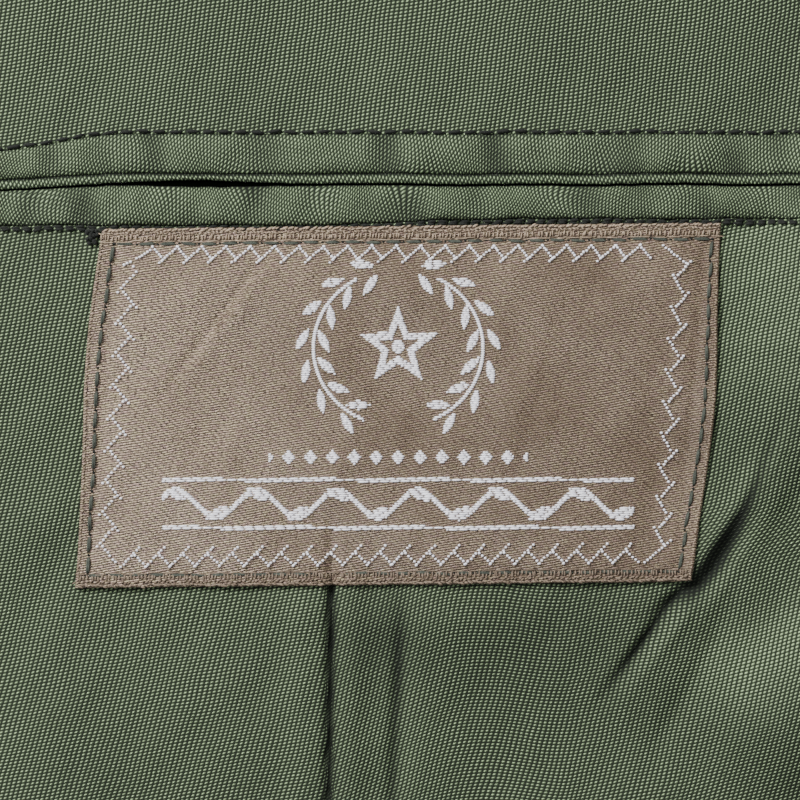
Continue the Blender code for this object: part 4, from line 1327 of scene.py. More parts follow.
@dataclass
class Label:
    """Woven label: satin ground, corded edges, a zigzag border, a generic motif and stitching."""

    front: TurnedFront
    finishes: Finishes
    long: float = 90.2
    tall: float = 52.6
    lean: float = 4.4  # how far the top lies along from the bottom
    rise: float = 0.9  # how far the right end lies up from the left
    rest: float = 0.7  # height of its ground above the lining

    def spot(self, p: Array, r: Array, height: Any) -> Array:
        """Points over the label's ground at places in mm."""
        return self.front.lining_point(p, r, self.rest + self.ground(p, r) + height)

    def bowed(self, p: Array, r: Array) -> Array:
        """Places moved out beside the two ends, which bow: a bell up the label at each end.

        Args:
            p: Place along the label in mm.
            r: Place up it.
        Returns:
            Places along it, moved.
        """
        left = -1.25 * np.exp(-(((r - 8.0) / 17.0) ** 2)) * soft_step((-p - 34.0) / 9.0)
        right = 1.35 * np.exp(-(((r + 1.0) / 16.0) ** 2)) * soft_step((p - 34.0) / 8.0)
        return p + left + right

    def ground(self, p: Array, r: Array) -> Array:
        """Unevenness of the tape: a wrinkle at its left, a soft swell and the sewn edges' pull.

        Args:
            p: Place along the label in mm.
            r: Place up it.
        Returns:
            Height in mm.
        """
        wrinkle = Crease((-19.4, 22.0), (-33.2, 3.4), 0.55, -0.42, 0.8)
        beside = Crease((-17.8, 22.0), (-31.6, 3.4), 1.2, 0.30, 1.8)
        up = r / self.tall
        along = (p - self.lean * up) / self.long
        edge = np.minimum((0.5 - np.abs(along)) * self.long, (0.5 - np.abs(up)) * self.tall)
        pull = -0.22 * np.exp(-(((edge - 2.0) / 0.7) ** 2))
        swell = 0.22 * ripple(p, r, 19.0, 71) + 0.55 * soft_step(edge / 12.0)
        return crease_height((wrinkle, beside), p, r) + pull + swell + 0.03 * ripple(p, r, 3.4, 72)

    def build_ground(self) -> None:
        """The tape itself: a leaning oblong, a thin sheet with rounded folded edges."""
        along = (near_ends(self.long, 174, 0.7) - 0.5)[None, :]
        up = (near_ends(self.tall, 104, 0.7) - 0.5)[:, None]
        p, r = self.long * along + self.lean * up, self.tall * up + self.rise * along
        points = self.spot(self.bowed(p, r), r, 0.0)
        uv = stack(p, self.tall * up)
        Panel("label_tape", points, uv, 0.42, self.finishes.tape, "label", ("label",),
              (self.long, self.tall), rests_on=("front_lining_left_cloth",), roll=0.35).build()

    def threads(self, name: str, start: Array, end: Array, radius: Any, height: Any,
                lift: Any, material: Finish, blunt: float = 0.5) -> None:
        """Lay many short threads on the label.

        Args:
            name: Name of the piece.
            start: Start places along and up the label in mm, n by 2.
            end: End places.
            radius: Thread radius in mm.
            height: Height of the thread's line over the ground.
            lift: Rise of its middle.
            material: Its yarn.
            blunt: Power of the taper.
        """
        first, last = (self.spot(place[:, 0], place[:, 1], height) for place in (start, end))
        lay_threads(name, first, last, radius, lift, material, blunt=blunt)

    @staticmethod
    def leg(start: Array, end: Array, dots: int) -> Array:
        """Middles of the dots of several legs of the border.

        Args:
            start: First dots, n by 2.
            end: Last dots, n by 2.
            dots: Dots in each leg.
        Returns:
            n * dots by 2.
        """
        share = np.linspace(0.0, 1.0, dots)[None, :, None]
        return (start[:, None] + (end - start)[:, None] * share).reshape(-1, 2)

    @staticmethod
    def line_of(start: Pair, step: Pair, count: int) -> Array:
        """Points at even steps."""
        return np.array(start) + np.array(step) * np.arange(count)[:, None]

    def border(self) -> None:
        """Zigzag border of white dots: one leg of each pair runs on past the other at a turn."""
        low = self.line_of((-38.5, 20.85), (3.562, 0.012), 21)
        top = [self.leg(low[1:], low[1:] + (2.70, 2.35), 8),
               self.leg(low + (2.62, 2.35), low + (4.1, 0.5), 6)]
        low = self.line_of((-40.6, -23.65), (3.6, 0.028), 22)
        bottom = [self.leg(low[:-1], low[:-1] + (2.75, 2.85), 8),
                  self.leg(low[:-1] + (2.1, 1.7), low[1:] + (0.1, 0.1), 5)]
        inner = self.line_of((-40.96, 16.53), (-0.385, -4.65), 9)
        outer = self.line_of((-37.9, 18.92), (-0.385, -4.65), 10)
        left = [self.leg(outer[:-1] + (-0.8, 0.15), inner, 6),
                self.leg(inner + (0.8, 0.05), outer[1:], 6)]
        inner = self.line_of((40.2, 19.06), (-0.34, -4.62), 9)
        outer = self.line_of((42.8, 21.06), (-0.34, -4.62), 10)
        right = [self.leg(outer[:-1], inner + (0.8, 0.0), 6),
                 self.leg(inner, outer[1:] + (-0.85, 0.15), 6)]
        for legs, first, last, dots in ((top, (-38.25, 21.45), (-36.25, 22.7), 6),
                                        (top, (38.75, 23.4), (42.1, 20.8), 9),
                                        (bottom, (36.1, -23.0), (39.9, -19.8), 10)):
            legs.append(self.leg(np.array([first]), np.array([last]), dots))
        left.append(np.array([(-40.1, 20.55), (-39.6, 20.8), (-39.15, 20.95), (-38.7, 20.3),
                              (-38.3, 19.6)]))
        rng = np.random.default_rng(2)
        for name, dots, half, radius in (
                ("label_border_level", top + bottom, (0.22, 0.03), 0.20),
                ("label_border_upright", left + right, (0.24, 0.02), 0.205)):
            middle = np.concatenate(dots) + rng.normal(0.0, 0.035, (sum(map(len, dots)), 2))
            size = radius * rng.uniform(0.85, 1.12, len(middle))
            self.threads(name, middle - half, middle + half, size, 0.16, 0.08,
                         self.finishes.silver_yarn, blunt=0.3)

    def motif(self, p: Array, r: Array) -> Array:
        """Where the motif's satin lies: a star between two sprays of leaves, and two bands.

        Args:
            p: Place along in mm.
            r: Place up in mm.
        Returns:
            True where the silver floats lie.
        """
        inside = self.star(p, r - 8.6, 6.2) & ~self.star(p, r - 8.6, 3.1)
        inside |= np.hypot(p, r - 8.6) < 1.0
        for side in (-1.0, 1.0):
            for k in range(7):
                turn = math.radians(-62.0 + 21.0 * k)
                stem_p = side * 12.4 * math.cos(turn)
                stem_r = 8.4 + 11.4 * math.sin(turn)
                for tilt, reach in ((0.55, 1.9), (-0.5, -1.7)):
                    out = turn + tilt
                    inside |= self.leaf(p - stem_p - side * reach * math.cos(out),
                                        r - stem_r - reach * math.sin(out),
                                        side * (math.pi / 2 + turn + tilt))
            arc = np.hypot(p, (r - 8.4) * 1.08)
            inside |= (np.abs(arc - 12.4) < 0.28) & (side * p > 5.0) & (r < 18.5)
        lozenge = np.abs(((p + 1.6) % 3.2) - 1.6) / 1.1 + np.abs(r + 7.6) / 1.15
        inside |= (lozenge < 1.0) & (np.abs(p) < 19.0)
        wave = 1.9 * np.sin(math.tau * p / 11.8)
        band = np.abs(p) < 34.6
        inside |= (np.abs(r + 14.4 - wave) < 0.55) & band
        for k in range(-6, 6):
            at = 11.8 * (k * 0.5 + 0.25)
            up = -1.0 if k % 2 == 0 else 1.0
            inside |= self.leaf(p - at, (r + 14.4) + up * 1.35, 0.5 * up) & (np.abs(at) < 34.0)
        rails = np.minimum(np.abs(r + 10.9), np.abs(r + 17.9))
        inside |= (rails < 0.3) & band
        return inside

    @staticmethod
    def star(p: Array, r: Array, size: float) -> Array:
        """A five-pointed star: its edge runs straight from a point to a notch.

        Args:
            p: Place across from its middle in mm.
            r: Place up from it.
            size: Reach of its points.
        Returns:
            True inside it.
        """
        angle = np.abs(((np.arctan2(p, r) / (math.tau / 5)) + 0.5) % 1.0 - 0.5) * (math.tau / 5)
        notch = 0.42 * size
        reach = (size * notch * math.sin(math.pi / 5)
                 / (notch * np.sin(math.pi / 5 - angle) + size * np.sin(angle)))
        return np.hypot(p, r) < reach

    @staticmethod
    def leaf(p: Array, r: Array, turn: float) -> Array:
        """A pointed leaf: a parabola on each side of its middle line.

        Args:
            p: Place across from its middle in mm.
            r: Place up from it.
            turn: Its turn in radians.
        Returns:
            True inside it.
        """
        along = p * math.cos(turn) + r * math.sin(turn)
        across = -p * math.sin(turn) + r * math.cos(turn)
        return np.abs(across) < 0.68 * (1.0 - (along / 1.9) ** 2)

    def satin(self) -> None:
        """The motif as level silver floats, one row of yarn after another."""
        # Row spacing, step of the search along a row and longest float in mm, and a row's slope.
        row, step, longest, slope = 0.33, 0.04, 1.5, 0.02
        starts, ends = [], []
        p = np.arange(-36.0, 36.0, step)
        for number, r in enumerate(np.arange(-19.0, 22.0, row)):
            level = r + slope * p
            mask = np.concatenate([[False], self.motif(p, level), [False]])
            change = np.flatnonzero(mask[1:] != mask[:-1])
            for a, b in zip(change[::2], change[1::2]):
                if b - a < 6:
                    continue
                begun, ended = p[a], p[b - 1]
                cuts = np.arange(begun - (number * 0.41 % 1.0) * longest, ended, longest)
                inner = cuts[(cuts > begun + 0.25) & (cuts < ended - 0.25)]
                marks = np.concatenate([[begun], inner, [ended]])
                starts.append(stack(marks[:-1] - 0.05, r + slope * marks[:-1]))
                ends.append(stack(marks[1:] + 0.05, r + slope * marks[1:]))
        first, last = np.concatenate(starts), np.concatenate(ends)
        rng = np.random.default_rng(5)
        radius = 0.155 + 0.03 * rng.random(len(first))
        self.threads("label_motif", first, last, radius, 0.03, 0.10, self.finishes.silver_yarn,
                     blunt=0.3)

    def cord_row(self, rng: np.random.Generator, side: float, depth: float, pitch: float,
                 reach: Pair, radius: float) -> tuple[Array, Array, Array]:
        """One row of strands along the upper or lower edge.

        Args:
            rng: Source of their unevenness.
            side: 1 for the upper edge, -1 for the lower.
            depth: Distance from the edge in mm.
            pitch: Spacing of the strands.
            reach: How far each reaches along and up.
            radius: Strand radius.
        Returns:
            Starts, ends and radii.
        """
        along = np.arange(-44.9, 44.6, pitch)
        along = along + rng.normal(0.0, 0.12 * pitch, len(along))
        r = side * (0.5 * self.tall - depth) + self.rise * along / self.long
        p = along + self.lean * r / self.tall
        start = np.stack([self.bowed(p, r), r], -1) + rng.normal(0.0, 0.08, (len(p), 2))
        end = start + np.array(reach) + rng.normal(0.0, 0.08, (len(p), 2))
        return start, end, radius * rng.uniform(0.75, 1.25, len(p))

    def corded_edges(self) -> None:
        """Edges of the tape: a rope of slanting strands, upright loops, a cord, and end loops."""
        rng = np.random.default_rng(11)
        # The lower cord takes the darker copy of the tan yarn: painted shade.
        for name, side, yarn in (("upper", 1.0, self.finishes.tape_yarn),
                                 ("lower", -1.0, self.finishes.shaded_cord_yarn)):
            rows = [self.cord_row(rng, side, 0.45, 0.55, (0.85, 0.32 * side), 0.17),
                    self.cord_row(rng, side, 0.95, 0.62, (-0.60, 0.36 * side), 0.13),
                    self.cord_row(rng, side, 1.95, 0.52, (0.10, 0.95 * side), 0.15),
                    self.cord_row(rng, side, 2.0, 2.1, (2.3, 0.02), 0.11)]
            first, last, radius = (np.concatenate([row[k] for row in rows]) for k in range(3))
            self.threads(f"label_{name}_cord", first, last, radius, 0.02, 0.14, yarn)
        for name, end, turn in (("left", -0.5, 1.0), ("right", 0.5, -1.0)):
            up = np.arange(-0.49, 0.49, 0.5 / self.tall)
            r = self.tall * up + self.rise * end
            p = self.bowed(self.long * end + self.lean * up + 0.12 * turn, r)
            start = np.stack([p, r], -1) + rng.normal(0.0, 0.05, (len(p), 2))
            self.threads(f"label_{name}_loops", start, start + (0.42 * turn, 0.28), 0.10, 0.02,
                         0.14, self.finishes.tape_yarn)

    def frayed_yarn(self) -> None:
        """Pale broken floats standing along the wrinkle."""
        rng = np.random.default_rng(17)
        along = np.sort(rng.uniform(0.0, 1.0, 70))[:, None]
        line = np.array([-18.9, 22.0]) + np.array([-13.8, -18.6]) * along
        start = line + rng.normal(0.0, 0.3, (70, 2))
        reach = rng.uniform(0.5, 1.5, (70, 1)) * np.array([0.85, 0.25])
        end = start + reach + rng.normal(0.0, 0.2, (70, 2))
        self.threads("label_frayed_floats", start, end, 0.055, 0.03, 0.12,
                     self.finishes.tape_yarn)

    def run(self, start: Pair, end: Pair, pitch: float) -> tuple[Array, Array]:
        """Stitches from one place to another on the label, its ends' bow followed.

        Args:
            start: First place in mm.
            end: Last place.
            pitch: Stitch length.
        Returns:
            Starts and ends of the stitches, n by 2.
        """
        a, b = np.array(start), np.array(end)
        length = float(np.linalg.norm(b - a))
        marks = np.linspace(0.0, 1.0, int(round(length / pitch)) + 1)[:, None]
        line = a + (b - a) * marks
        line[:, 0] = self.bowed(line[:, 0], line[:, 1])
        return line[:-1], line[1:]

    def stitches(self) -> None:
        """Machine stitches: full two-ply ones down the ends, thin sunk ones along the edges, and
        painted shadow at their needle holes.
        """
        rng = np.random.default_rng(3)
        corners = {"bl": (-45.6, -24.9), "br": (41.1, -24.3), "tr": (45.8, 24.35),
                   "tl": (-41.1, 23.55)}
        for name, a, b, pitch, radius, rise in (
                ("label_left_stitches", "bl", "tl", 3.05, 0.215, 0.22),
                ("label_right_stitches", "br", "tr", 3.15, 0.19, 0.19),
                ("label_top_stitches", "tl", "tr", 3.0, 0.17, 0.10),
                ("label_bottom_stitches", "bl", "br", 3.0, 0.16, 0.07)):
            start, end = self.run(corners[a], corners[b], pitch)
            loose = rng.normal(0.0, 0.07, (2, len(start), 2))
            along = unit(end - start)
            side = along[:, ::-1] * np.array([-1.0, 1.0]) * 0.5 * radius
            start, end = start + 0.14 * along + loose[0], end - 0.14 * along + loose[1]
            first = np.concatenate([start + side, start - side + 0.2 * along])
            last = np.concatenate([end + side - 0.2 * along, end - side])
            self.threads(name, first, last, radius, 0.02, rise, self.finishes.dark_yarn,
                         blunt=0.35)
            # Black blobs at the needle holes: painted shadow where the thread dives into the cloth.
            hole_shadow = np.concatenate([start - 0.16 * along, end[-1:] + 0.16 * along[-1:]])
            reach = 0.2 * along[0]
            self.threads(name + "_holes", hole_shadow - reach, hole_shadow + reach, radius * 1.15, 0.02, 0.0,
                         self.finishes.black_yarn)

    def build(self) -> None:
        """Make the label and everything woven or sewn on it."""
        self.build_ground()
        self.corded_edges()
        self.border()
        self.satin()
        self.frayed_yarn()
        self.stitches()


# --- wool shell ---

def pick(count: int, *marks: float) -> Array:
    """Even values over the span of the marks, with the marks themselves among them."""
    return np.unique(np.round(np.concatenate([np.linspace(marks[0], marks[-1], count), marks]), 5))


def turned_columns(turn: TurnLine, at: float, before: int, bend: int,
                   after: int) -> tuple[Array, bool]:
    """Shares along a front row, close together on the turn.

    Args:
        turn: The line that the row may cross.
        at: Row number.
        before: Columns from the free edge to the turn.
        bend: Columns on it.
        after: Columns from it to the side.
    Returns:
        The shares, and whether the row turns.
    """
    first, second = crossing(turn, at, -turn.cloth), crossing(turn, at, 0.0)
    turns = first is not None and second is not None
    if not turns:
        first, second = 3.0 / row_length(at), 6.0 / row_length(at)
    last = max(1.0 - CUT.edge_roll / row_length(at), second + 0.01)
    shares = [np.linspace(0.0, first, before + 1)[:-1], np.linspace(first, second, bend + 1)[:-1],
              np.linspace(second, last, after + 1)[:-1], np.linspace(last, 1.0, 6)]
    return np.concatenate(shares), turns


def seam_path(edge: Array, inner: Array, inset: float) -> Array:
    """A grid's edge line moved towards an inner line by some mm, point by point."""
    return edge + unit(inner - edge) * inset


def sew(name: str, path: Array, pitch: float, radius: float, material: Finish,
        slot: str, lift: float) -> None:
    """A run of machine stitches on a path, with a small gap between stitches.

    Args:
        name: Name of the run.
        path: Points of the run in mm, n by 3.
        pitch: Stitch length in mm.
        radius: Thread radius in mm.
        material: Its thread.
        slot: Not used.
        lift: Rise of a stitch's middle in mm.
    """
    length = np.concatenate([[0.0], np.cumsum(np.linalg.norm(np.diff(path, axis=0), axis=-1))])
    marks = np.linspace(0.0, length[-1], max(int(round(length[-1] / pitch)), 1) + 1)
    gap = STITCH_GAP * pitch
    starts, ends = (stack(*(np.interp(at, length, path[:, k]) for k in range(3)))
                    for at in (marks[:-1] + gap, marks[1:] - gap))
    lay_threads(name, starts, ends, radius, lift, material, blunt=0.4)


@dataclass
class WoolMaker:
    """What makes wool pieces of the coat and stitches them."""

    finishes: Finishes

    def wool(self, node: str, points: Array, uv: Array, cloth: float, flat: Pair,
             **more: Any) -> None:
        """Make a wool piece in place of a CAD node.

        Args:
            node: The CAD node, whose name it takes.
            points: Its visible face in mm.
            uv: Place on the cloth in mm.
            cloth: Thickness in mm.
            flat: Width and length of its cut in mm.
            more: Other values of the panel.
        """
        Panel(node + "_wool", points, uv, cloth, self.finishes.wool, "wool", (node,), flat,
              **more).build()

    def topstitch(self, name: str, path: Array, rise: float) -> None:
        """Stitch a wool edge along a path raised by some mm."""
        sew(name, path + (0.0, 0.0, rise), *TOPSTITCH, self.finishes.green_yarn, "wool",
            TOPSTITCH_BOW)


# The back lining's pressed centre pleat, and its soft folds where nothing lies on it.
BACK_CREASES = creases(
    (6.0, -14.0, 6.0, -738.0, 6.0, 1.2, 2.2),
    (12.0, -40.0, 26.0, -300.0, 8.0, 0.8),
    (66.0, -60.0, 44.0, -250.0, 13.0, 2.0, 9.0),
    (104.0, -240.0, 44.0, -380.0, 12.0, 2.1, 16.0),
    (120.0, -330.0, 64.0, -420.0, 9.0, 1.6),
    (58.0, -400.0, 50.0, -690.0, 15.0, 2.0, 20.0),
    (150.0, -470.0, 92.0, -600.0, 14.0, 2.3, 10.0),
    (176.0, -640.0, 110.0, -700.0, 12.0, 1.7),
    (108.0, -560.0, 104.0, -722.0, 11.0, 1.6),
)


@dataclass
class Body(WoolMaker):
    """Back, back lining and the turned left front with its facing."""

    rows: int = 132
    columns: tuple[int, int, int] = (34, 12, 9)  # before, on and after the fold

    def back_grid(self, z: float, inset: float, hem: float, columns: int) -> tuple[Array, Array]:
        """Grid of the back: rows level at the hem and bent along neck and shoulders at the top.

        Args:
            z: Height of the visible face in mm.
            inset: How far it stays inside the outline.
            hem: How far it stays above the hem.
            columns: Columns across.
        Returns:
            Points and their places on the cloth.
        """
        heights = pick(96, -CUT.length + hem, CUT.underarm_y, -CUT.shoulder_drop)[::-1][:, None]
        follow = np.clip((heights + 190.0) / 152.0, 0.0, 1.0)
        neck = (CUT.neck_half + 4.0) / CUT.shoulder_x
        shares = pick(columns, -1.0, -neck, 0.0, neck, 1.0)[None, :]
        half = outline_x(heights) - inset
        y = heights + follow * (shoulder_y(shares * CUT.shoulder_x) + CUT.shoulder_drop - inset)
        x = shares * half
        return stack(x, y, z), stack(x, y)

    def build_back(self) -> None:
        """The back flat on the surface, and its lining."""
        face, uv = self.back_grid(CUT.wool, CUT.seam, 0.0, 60)
        self.wool("back", face, uv, CUT.wool - 0.1, (600.0, 775.0), roll=1.0)
        face, uv = self.back_grid(CUT.wool + CUT.seam + CUT.lining, 13.0, 14.0, 190)
        x, y = face[..., 0], face[..., 1]
        free = soft_step((shoulder_y(x) - y - 16.0) / 20.0)
        free = free * soft_step((y + CUT.length - 14.0) / 20.0)
        face[..., 2] += free * (crease_height(BACK_CREASES, x, y) + 0.2 * ripple(x, y, 60.0, 2))
        Panel("back_lining_cloth", face, uv, 0.8, self.finishes.lining, "lining", ("back_lining",),
              (560.0, 745.0), rests_on=("back_wool",)).build()

    def shell_row(self, at: float) -> tuple[Array, Array]:
        """One row of the turned front's shell and its places on the cloth."""
        x, y = row_point(at, turned_columns(LEFT_TURN, at, *self.columns)[0])
        return LEFT_TURN.place(x, y, CUT.wool), stack(x, y)

    def build_left_front(self) -> None:
        """Shell of the turned front: its wrong side is what looks up."""
        face, uv = by_rows(pick(self.rows, 0.0, 4.0, 8.0, 9.0, 10.0, 11.0), self.shell_row)
        self.wool("front_left", face, uv, CUT.wool, CUT.front_flat, held="folded",
                  rests_on=("back_wool", "floor"), roll=0.9, rolled=(True, True, True, False))

    @staticmethod
    def facing_row(at: float) -> tuple[Array, Array]:
        """One row of the facing, which ends just before the lining, and its places on the cloth.

        Args:
            at: Row number.
        Returns:
            Points and places in mm.
        """
        end = facing_line(at) - BUTT_GAP / row_length(at)
        x, y = row_point(at, near_ends(end * row_length(at), 22, 1.2) * end)
        face = LEFT_TURN.place(x, y, CUT.lining_depth + CUT.facing)
        face[..., 2] += 0.12 * ripple(x, y, 45.0, 12)
        return face, stack(x, y)

    def build_facing(self) -> None:
        """Wool facing along the inside of the turned front, stitched along its free edge."""
        face, uv = by_rows(pick(self.rows, 0.6, 4.0, 8.0, 9.0, 10.0, 10.975), self.facing_row)
        self.wool("facing_left", face, uv, CUT.facing, (100.0, 760.0),
                  rests_on=("front_left_wool",), roll=0.9)
        path = seam_path(face[:, 0], face[:, 4], EDGE_INSET)
        path[:, 2] += 0.02
        sew("facing_edge_stitching", path, 3.2, 0.24, self.finishes.green_yarn, "wool", 0.14)

    def build_buttonholes(self) -> None:
        """Four worked buttonholes: purl stitches side by side round a narrow slot with an eye."""
        turn = np.linspace(0.0, math.tau, 96, endpoint=False)
        slot_x = 11.0 * np.cos(turn)
        slot_y = (0.55 + 0.9 * np.exp(-((slot_x + 9.0) / 2.2) ** 2)) * np.sin(turn)
        starts, ends = [], []
        for y in CUT.button_heights:
            for reach, group in ((0.0, starts), (1.7, ends)):
                out = unit(stack(0.12 * slot_x, slot_y)) * reach
                x, up = 8.0 + slot_x + out[:, 0], y + slot_y + out[:, 1]
                group.append(LEFT_TURN.place(x, up, CUT.lining_depth + CUT.facing + 0.12))
        first, last = np.concatenate(starts), np.concatenate(ends)
        lay_threads("buttonhole_stitching", first, last, 0.3, 0.3, self.finishes.green_yarn,
                    sides=6, rings=5)

    def build(self) -> None:
        """Make the pieces."""
        self.build_back()
        self.build_left_front()
        self.build_facing()
        self.build_buttonholes()


# Soft folds of the closed right front, in its own-side x and y.
RIGHT_CREASES = creases(
    (234.0, -205.0, 140.0, -330.0, 13.0, 4.0, 18.0),
    (238.0, -250.0, 70.0, -390.0, 15.0, 3.4, 22.0),
    (250.0, -300.0, 120.0, -440.0, 12.0, -1.6, 16.0),
    (60.0, -400.0, 78.0, -720.0, 18.0, 3.6, 26.0),
    (232.0, -330.0, 247.0, -470.0, 13.0, 3.2),
    (262.0, -480.0, 256.0, -735.0, 15.0, 3.4, 10.0),
    (28.0, -470.0, 34.0, -700.0, 14.0, -1.6),
    (205.0, -130.0, 150.0, -185.0, 12.0, 2.6),
    (196.0, -92.0, 128.0, -140.0, 10.0, 1.8, 14.0),
    (100.0, -120.0, 58.0, -300.0, 20.0, 2.6, 26.0),
    (40.0, -362.0, 150.0, -425.0, 12.0, 1.9, 9.0),
)


@dataclass
class RightFront(WoolMaker):
    """The closed right front: shell, rolled lapel, pockets, shoulder loop and buttons."""

    rows: int = 132
    columns: tuple[int, int, int] = (14, 8, 44)  # before, on and after the lapel's turn
    patch_cloth: float = 1.3
    lapel_cloth: float = 0.9
    loop_cloth: float = 2.0
    pleat: float = 0.9

    def lift(self, x: Array, y: Array) -> Array:
        """Height of the front's creases; none on the turn, at the seams or on the button line.

        Args:
            x: Own-side x in mm.
            y: Its y.
        Returns:
            Height in mm.
        """
        beyond = RIGHT_TURN.measure(x, y)[1]
        keep = soft_step((beyond - 4.0) / 30.0) * soft_step(to_side(x, y) / 25.0)
        keep = keep * soft_step((x - 14.0) / 16.0)
        return keep * (crease_height(RIGHT_CREASES, x, y) + 0.25 * ripple(x, y, 55.0, 6))

    def on_front(self, x: Array, y: Array, height: Any) -> Array:
        """Points a height above the closed right front."""
        x, y = np.broadcast_arrays(x, y)
        return mirrored(stack(x, y, closed_outer(x, y) + self.lift(x, y) + height))

    def grid(self, rows: Array, depth: float, kept: Optional[int] = None) -> tuple[Array, ...]:
        """Grid of the right front at a depth from its outer face, its lapel turned.

        Args:
            rows: Row numbers.
            depth: Depth in mm.
            kept: How many columns to keep from the free edge, or None for all.
        Returns:
            Points and their places on the cloth.
        """
        def one_row(at: float) -> tuple[Array, Array]:
            """One row and its places on the cloth.

            Args:
                at: Row number.
            Returns:
                Points and places in mm.
            """
            t, turns = turned_columns(RIGHT_TURN, at, *self.columns)
            x, y = row_point(at, t[:kept])
            level = stack(x, y, closed_outer(x, y) - depth)
            face = RIGHT_TURN.place(x, y, depth) if turns else level
            face[..., 2] += self.lift(x, y)
            return mirrored(face), stack(x, y)

        return by_rows(rows, one_row)

    def build_shell(self) -> None:
        """Shell and lapel facing, each stitched along its edge."""
        rows = pick(self.rows, 0.0, 3.0, 4.0, 7.85, 8.0, 9.0, 10.0, 11.0)
        face, uv = self.grid(rows, 0.0)
        self.wool("front_right", face, uv, CUT.wool, CUT.front_flat,
                  rests_on=("back_lining_cloth",), roll=1.2)
        facing_rows = pick(72, 1.0, 3.0, 4.0, 7.5)
        lapel, uv = self.grid(facing_rows, CUT.lining_depth + self.lapel_cloth, 26)
        self.wool("facing_right", lapel, uv, self.lapel_cloth, (110.0, 330.0), held="folded",
                  rests_on=("front_right_wool",), roll=0.6)
        below_break = face[rows > BREAK_ROW + 0.2]
        for name, grid, inner in (("lapel_stitching", lapel, 3),
                                  ("front_edge_stitching", below_break, 16)):
            self.topstitch(name, seam_path(grid[:, 0], grid[:, inner], EDGE_INSET), 0.05)

    def patch(self, name: str, centre: float, width: float, top: float, tall: float, height: float,
              points: float = 0.0, pleat: float = 0.0) -> None:
        """A patch on the front: a rounded-edged oblong, its lower edge pointed, stitched all round.

        Args:
            name: CAD node it replaces.
            centre: Own-side x of its middle in mm.
            width: Its width.
            top: Own-side y of its upper edge.
            tall: Its height at the sides.
            height: Height of its underside above the front.
            points: How much further its middle reaches.
            pleat: Height of its box pleat.
        """
        across = (near_ends(width, 44, 2.0) - 0.5)[None, :]
        down = near_ends(tall, 30, 2.0)[:, None]
        x = centre + width * across
        point = points * (1.0 - np.abs(2.0 * across) ** 1.4)
        y = top - (tall + point) * down
        crown = pleat * soft_step((0.13 - np.abs(across)) / 0.035)
        wave = 0.12 * ripple(x, y, 30.0, len(name)) * (1.0 - np.abs(2.0 * across) ** 4)
        face = self.on_front(x, y, height + self.patch_cloth + crown + wave)
        uv = stack(x, y)
        self.wool(name, face, uv, self.patch_cloth, (width, tall + max(points, 0.1)),
                  rests_on=("front_right_wool",), roll=0.9)
        rim = [seam_path(face[:, 0], face[:, 6], PATCH_INSET)[2:],
               seam_path(face[-1], face[-7], PATCH_INSET)[3:-3],
               seam_path(face[:, -1], face[:, -7], PATCH_INSET)[::-1][:-2]]
        self.topstitch(name + "_stitching", np.concatenate(rim), 0.06)

    def build_pockets(self) -> float:
        """Both pockets and their flaps.

        Returns:
            Height of a flap's top above the front.
        """
        flap = 2.0 * CUT.seam + self.patch_cloth + self.pleat
        self.patch("breast_pocket", 153.0, 118.0, -216.0, 134.0, CUT.seam, pleat=self.pleat)
        self.patch("breast_pocket_flap", 153.0, 120.0, -206.0, 40.0, flap, points=16.0)
        self.patch("skirt_pocket", 152.0, 168.0, -492.0, 190.0, CUT.seam, pleat=self.pleat)
        self.patch("skirt_pocket_flap", 152.0, 171.0, -481.0, 62.0, flap, points=6.0)
        return flap + self.patch_cloth

    def build_loop(self) -> Pair:
        """Shoulder loop, narrowing to a point by the collar.

        Returns:
            Own-side place of its button.
        """
        start, end = np.array([216.0, -76.0]), np.array([160.0, -62.0])
        down = near_ends(58.0, 40, 1.5)[None, :]
        half = 0.5 * (46.0 - 10.0 * down) * (1.0 - 0.72 * soft_step((down - 0.78) / 0.24))
        across = (2.0 * near_ends(46.0, 24, 1.5) - 1.0)[:, None]
        along = unit(end - start)
        x = start[0] + (end - start)[0] * down - along[1] * half * across
        y = start[1] + (end - start)[1] * down + along[0] * half * across
        face = self.on_front(x, y, CUT.seam + self.loop_cloth)
        uv = stack(58.0 * down, half * across)
        self.wool("shoulder_loop", face, uv, self.loop_cloth, (46.0, 58.0),
                  rests_on=("front_right_wool",), roll=0.9)
        button = end - along * 14.0
        return float(button[0]), float(button[1])

    def button(self, node: str, x: float, y: float, z: float, radius: float) -> None:
        """A domed button: a turned profile with a bead round its rim.

        Args:
            node: CAD node it replaces.
            x: World-side x in mm before the shift.
            y: Its y.
            z: Height of its underside.
            radius: Its radius.
        """
        share = np.array([1e-4, 0.90, 0.97, 1.0, 1.0, 0.985, 0.95, 0.92, 0.905, 0.89, 0.86, 0.80,
                          0.70, 0.58, 0.44, 0.30, 0.15, 1e-4])
        rise = np.array([0.0, 0.0, 0.03, 0.10, 0.18, 0.23, 0.26, 0.25, 0.23, 0.25, 0.31, 0.41, 0.53,
                         0.62, 0.685, 0.715, 0.728, 0.73])
        turn = np.linspace(0.0, math.tau, 49)[None, :]
        beads = 1.0 + 0.006 * np.cos(48.0 * turn) * np.exp(-((rise[:, None] - 0.24) / 0.03) ** 2)
        ring = radius * share[:, None] * beads
        points = stack(x + ring * np.cos(turn), y + ring * np.sin(turn), z + radius * rise[:, None])
        faces = grid_faces(*points.shape[:2])
        piece = link(node + "_brass", mesh_of(node + "_brass", points.reshape(-1, 3), faces),
                     self.finishes.brass)
        weld = piece.modifiers.new("closed", "WELD")
        weld.merge_threshold = 2e-5
        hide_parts(node)

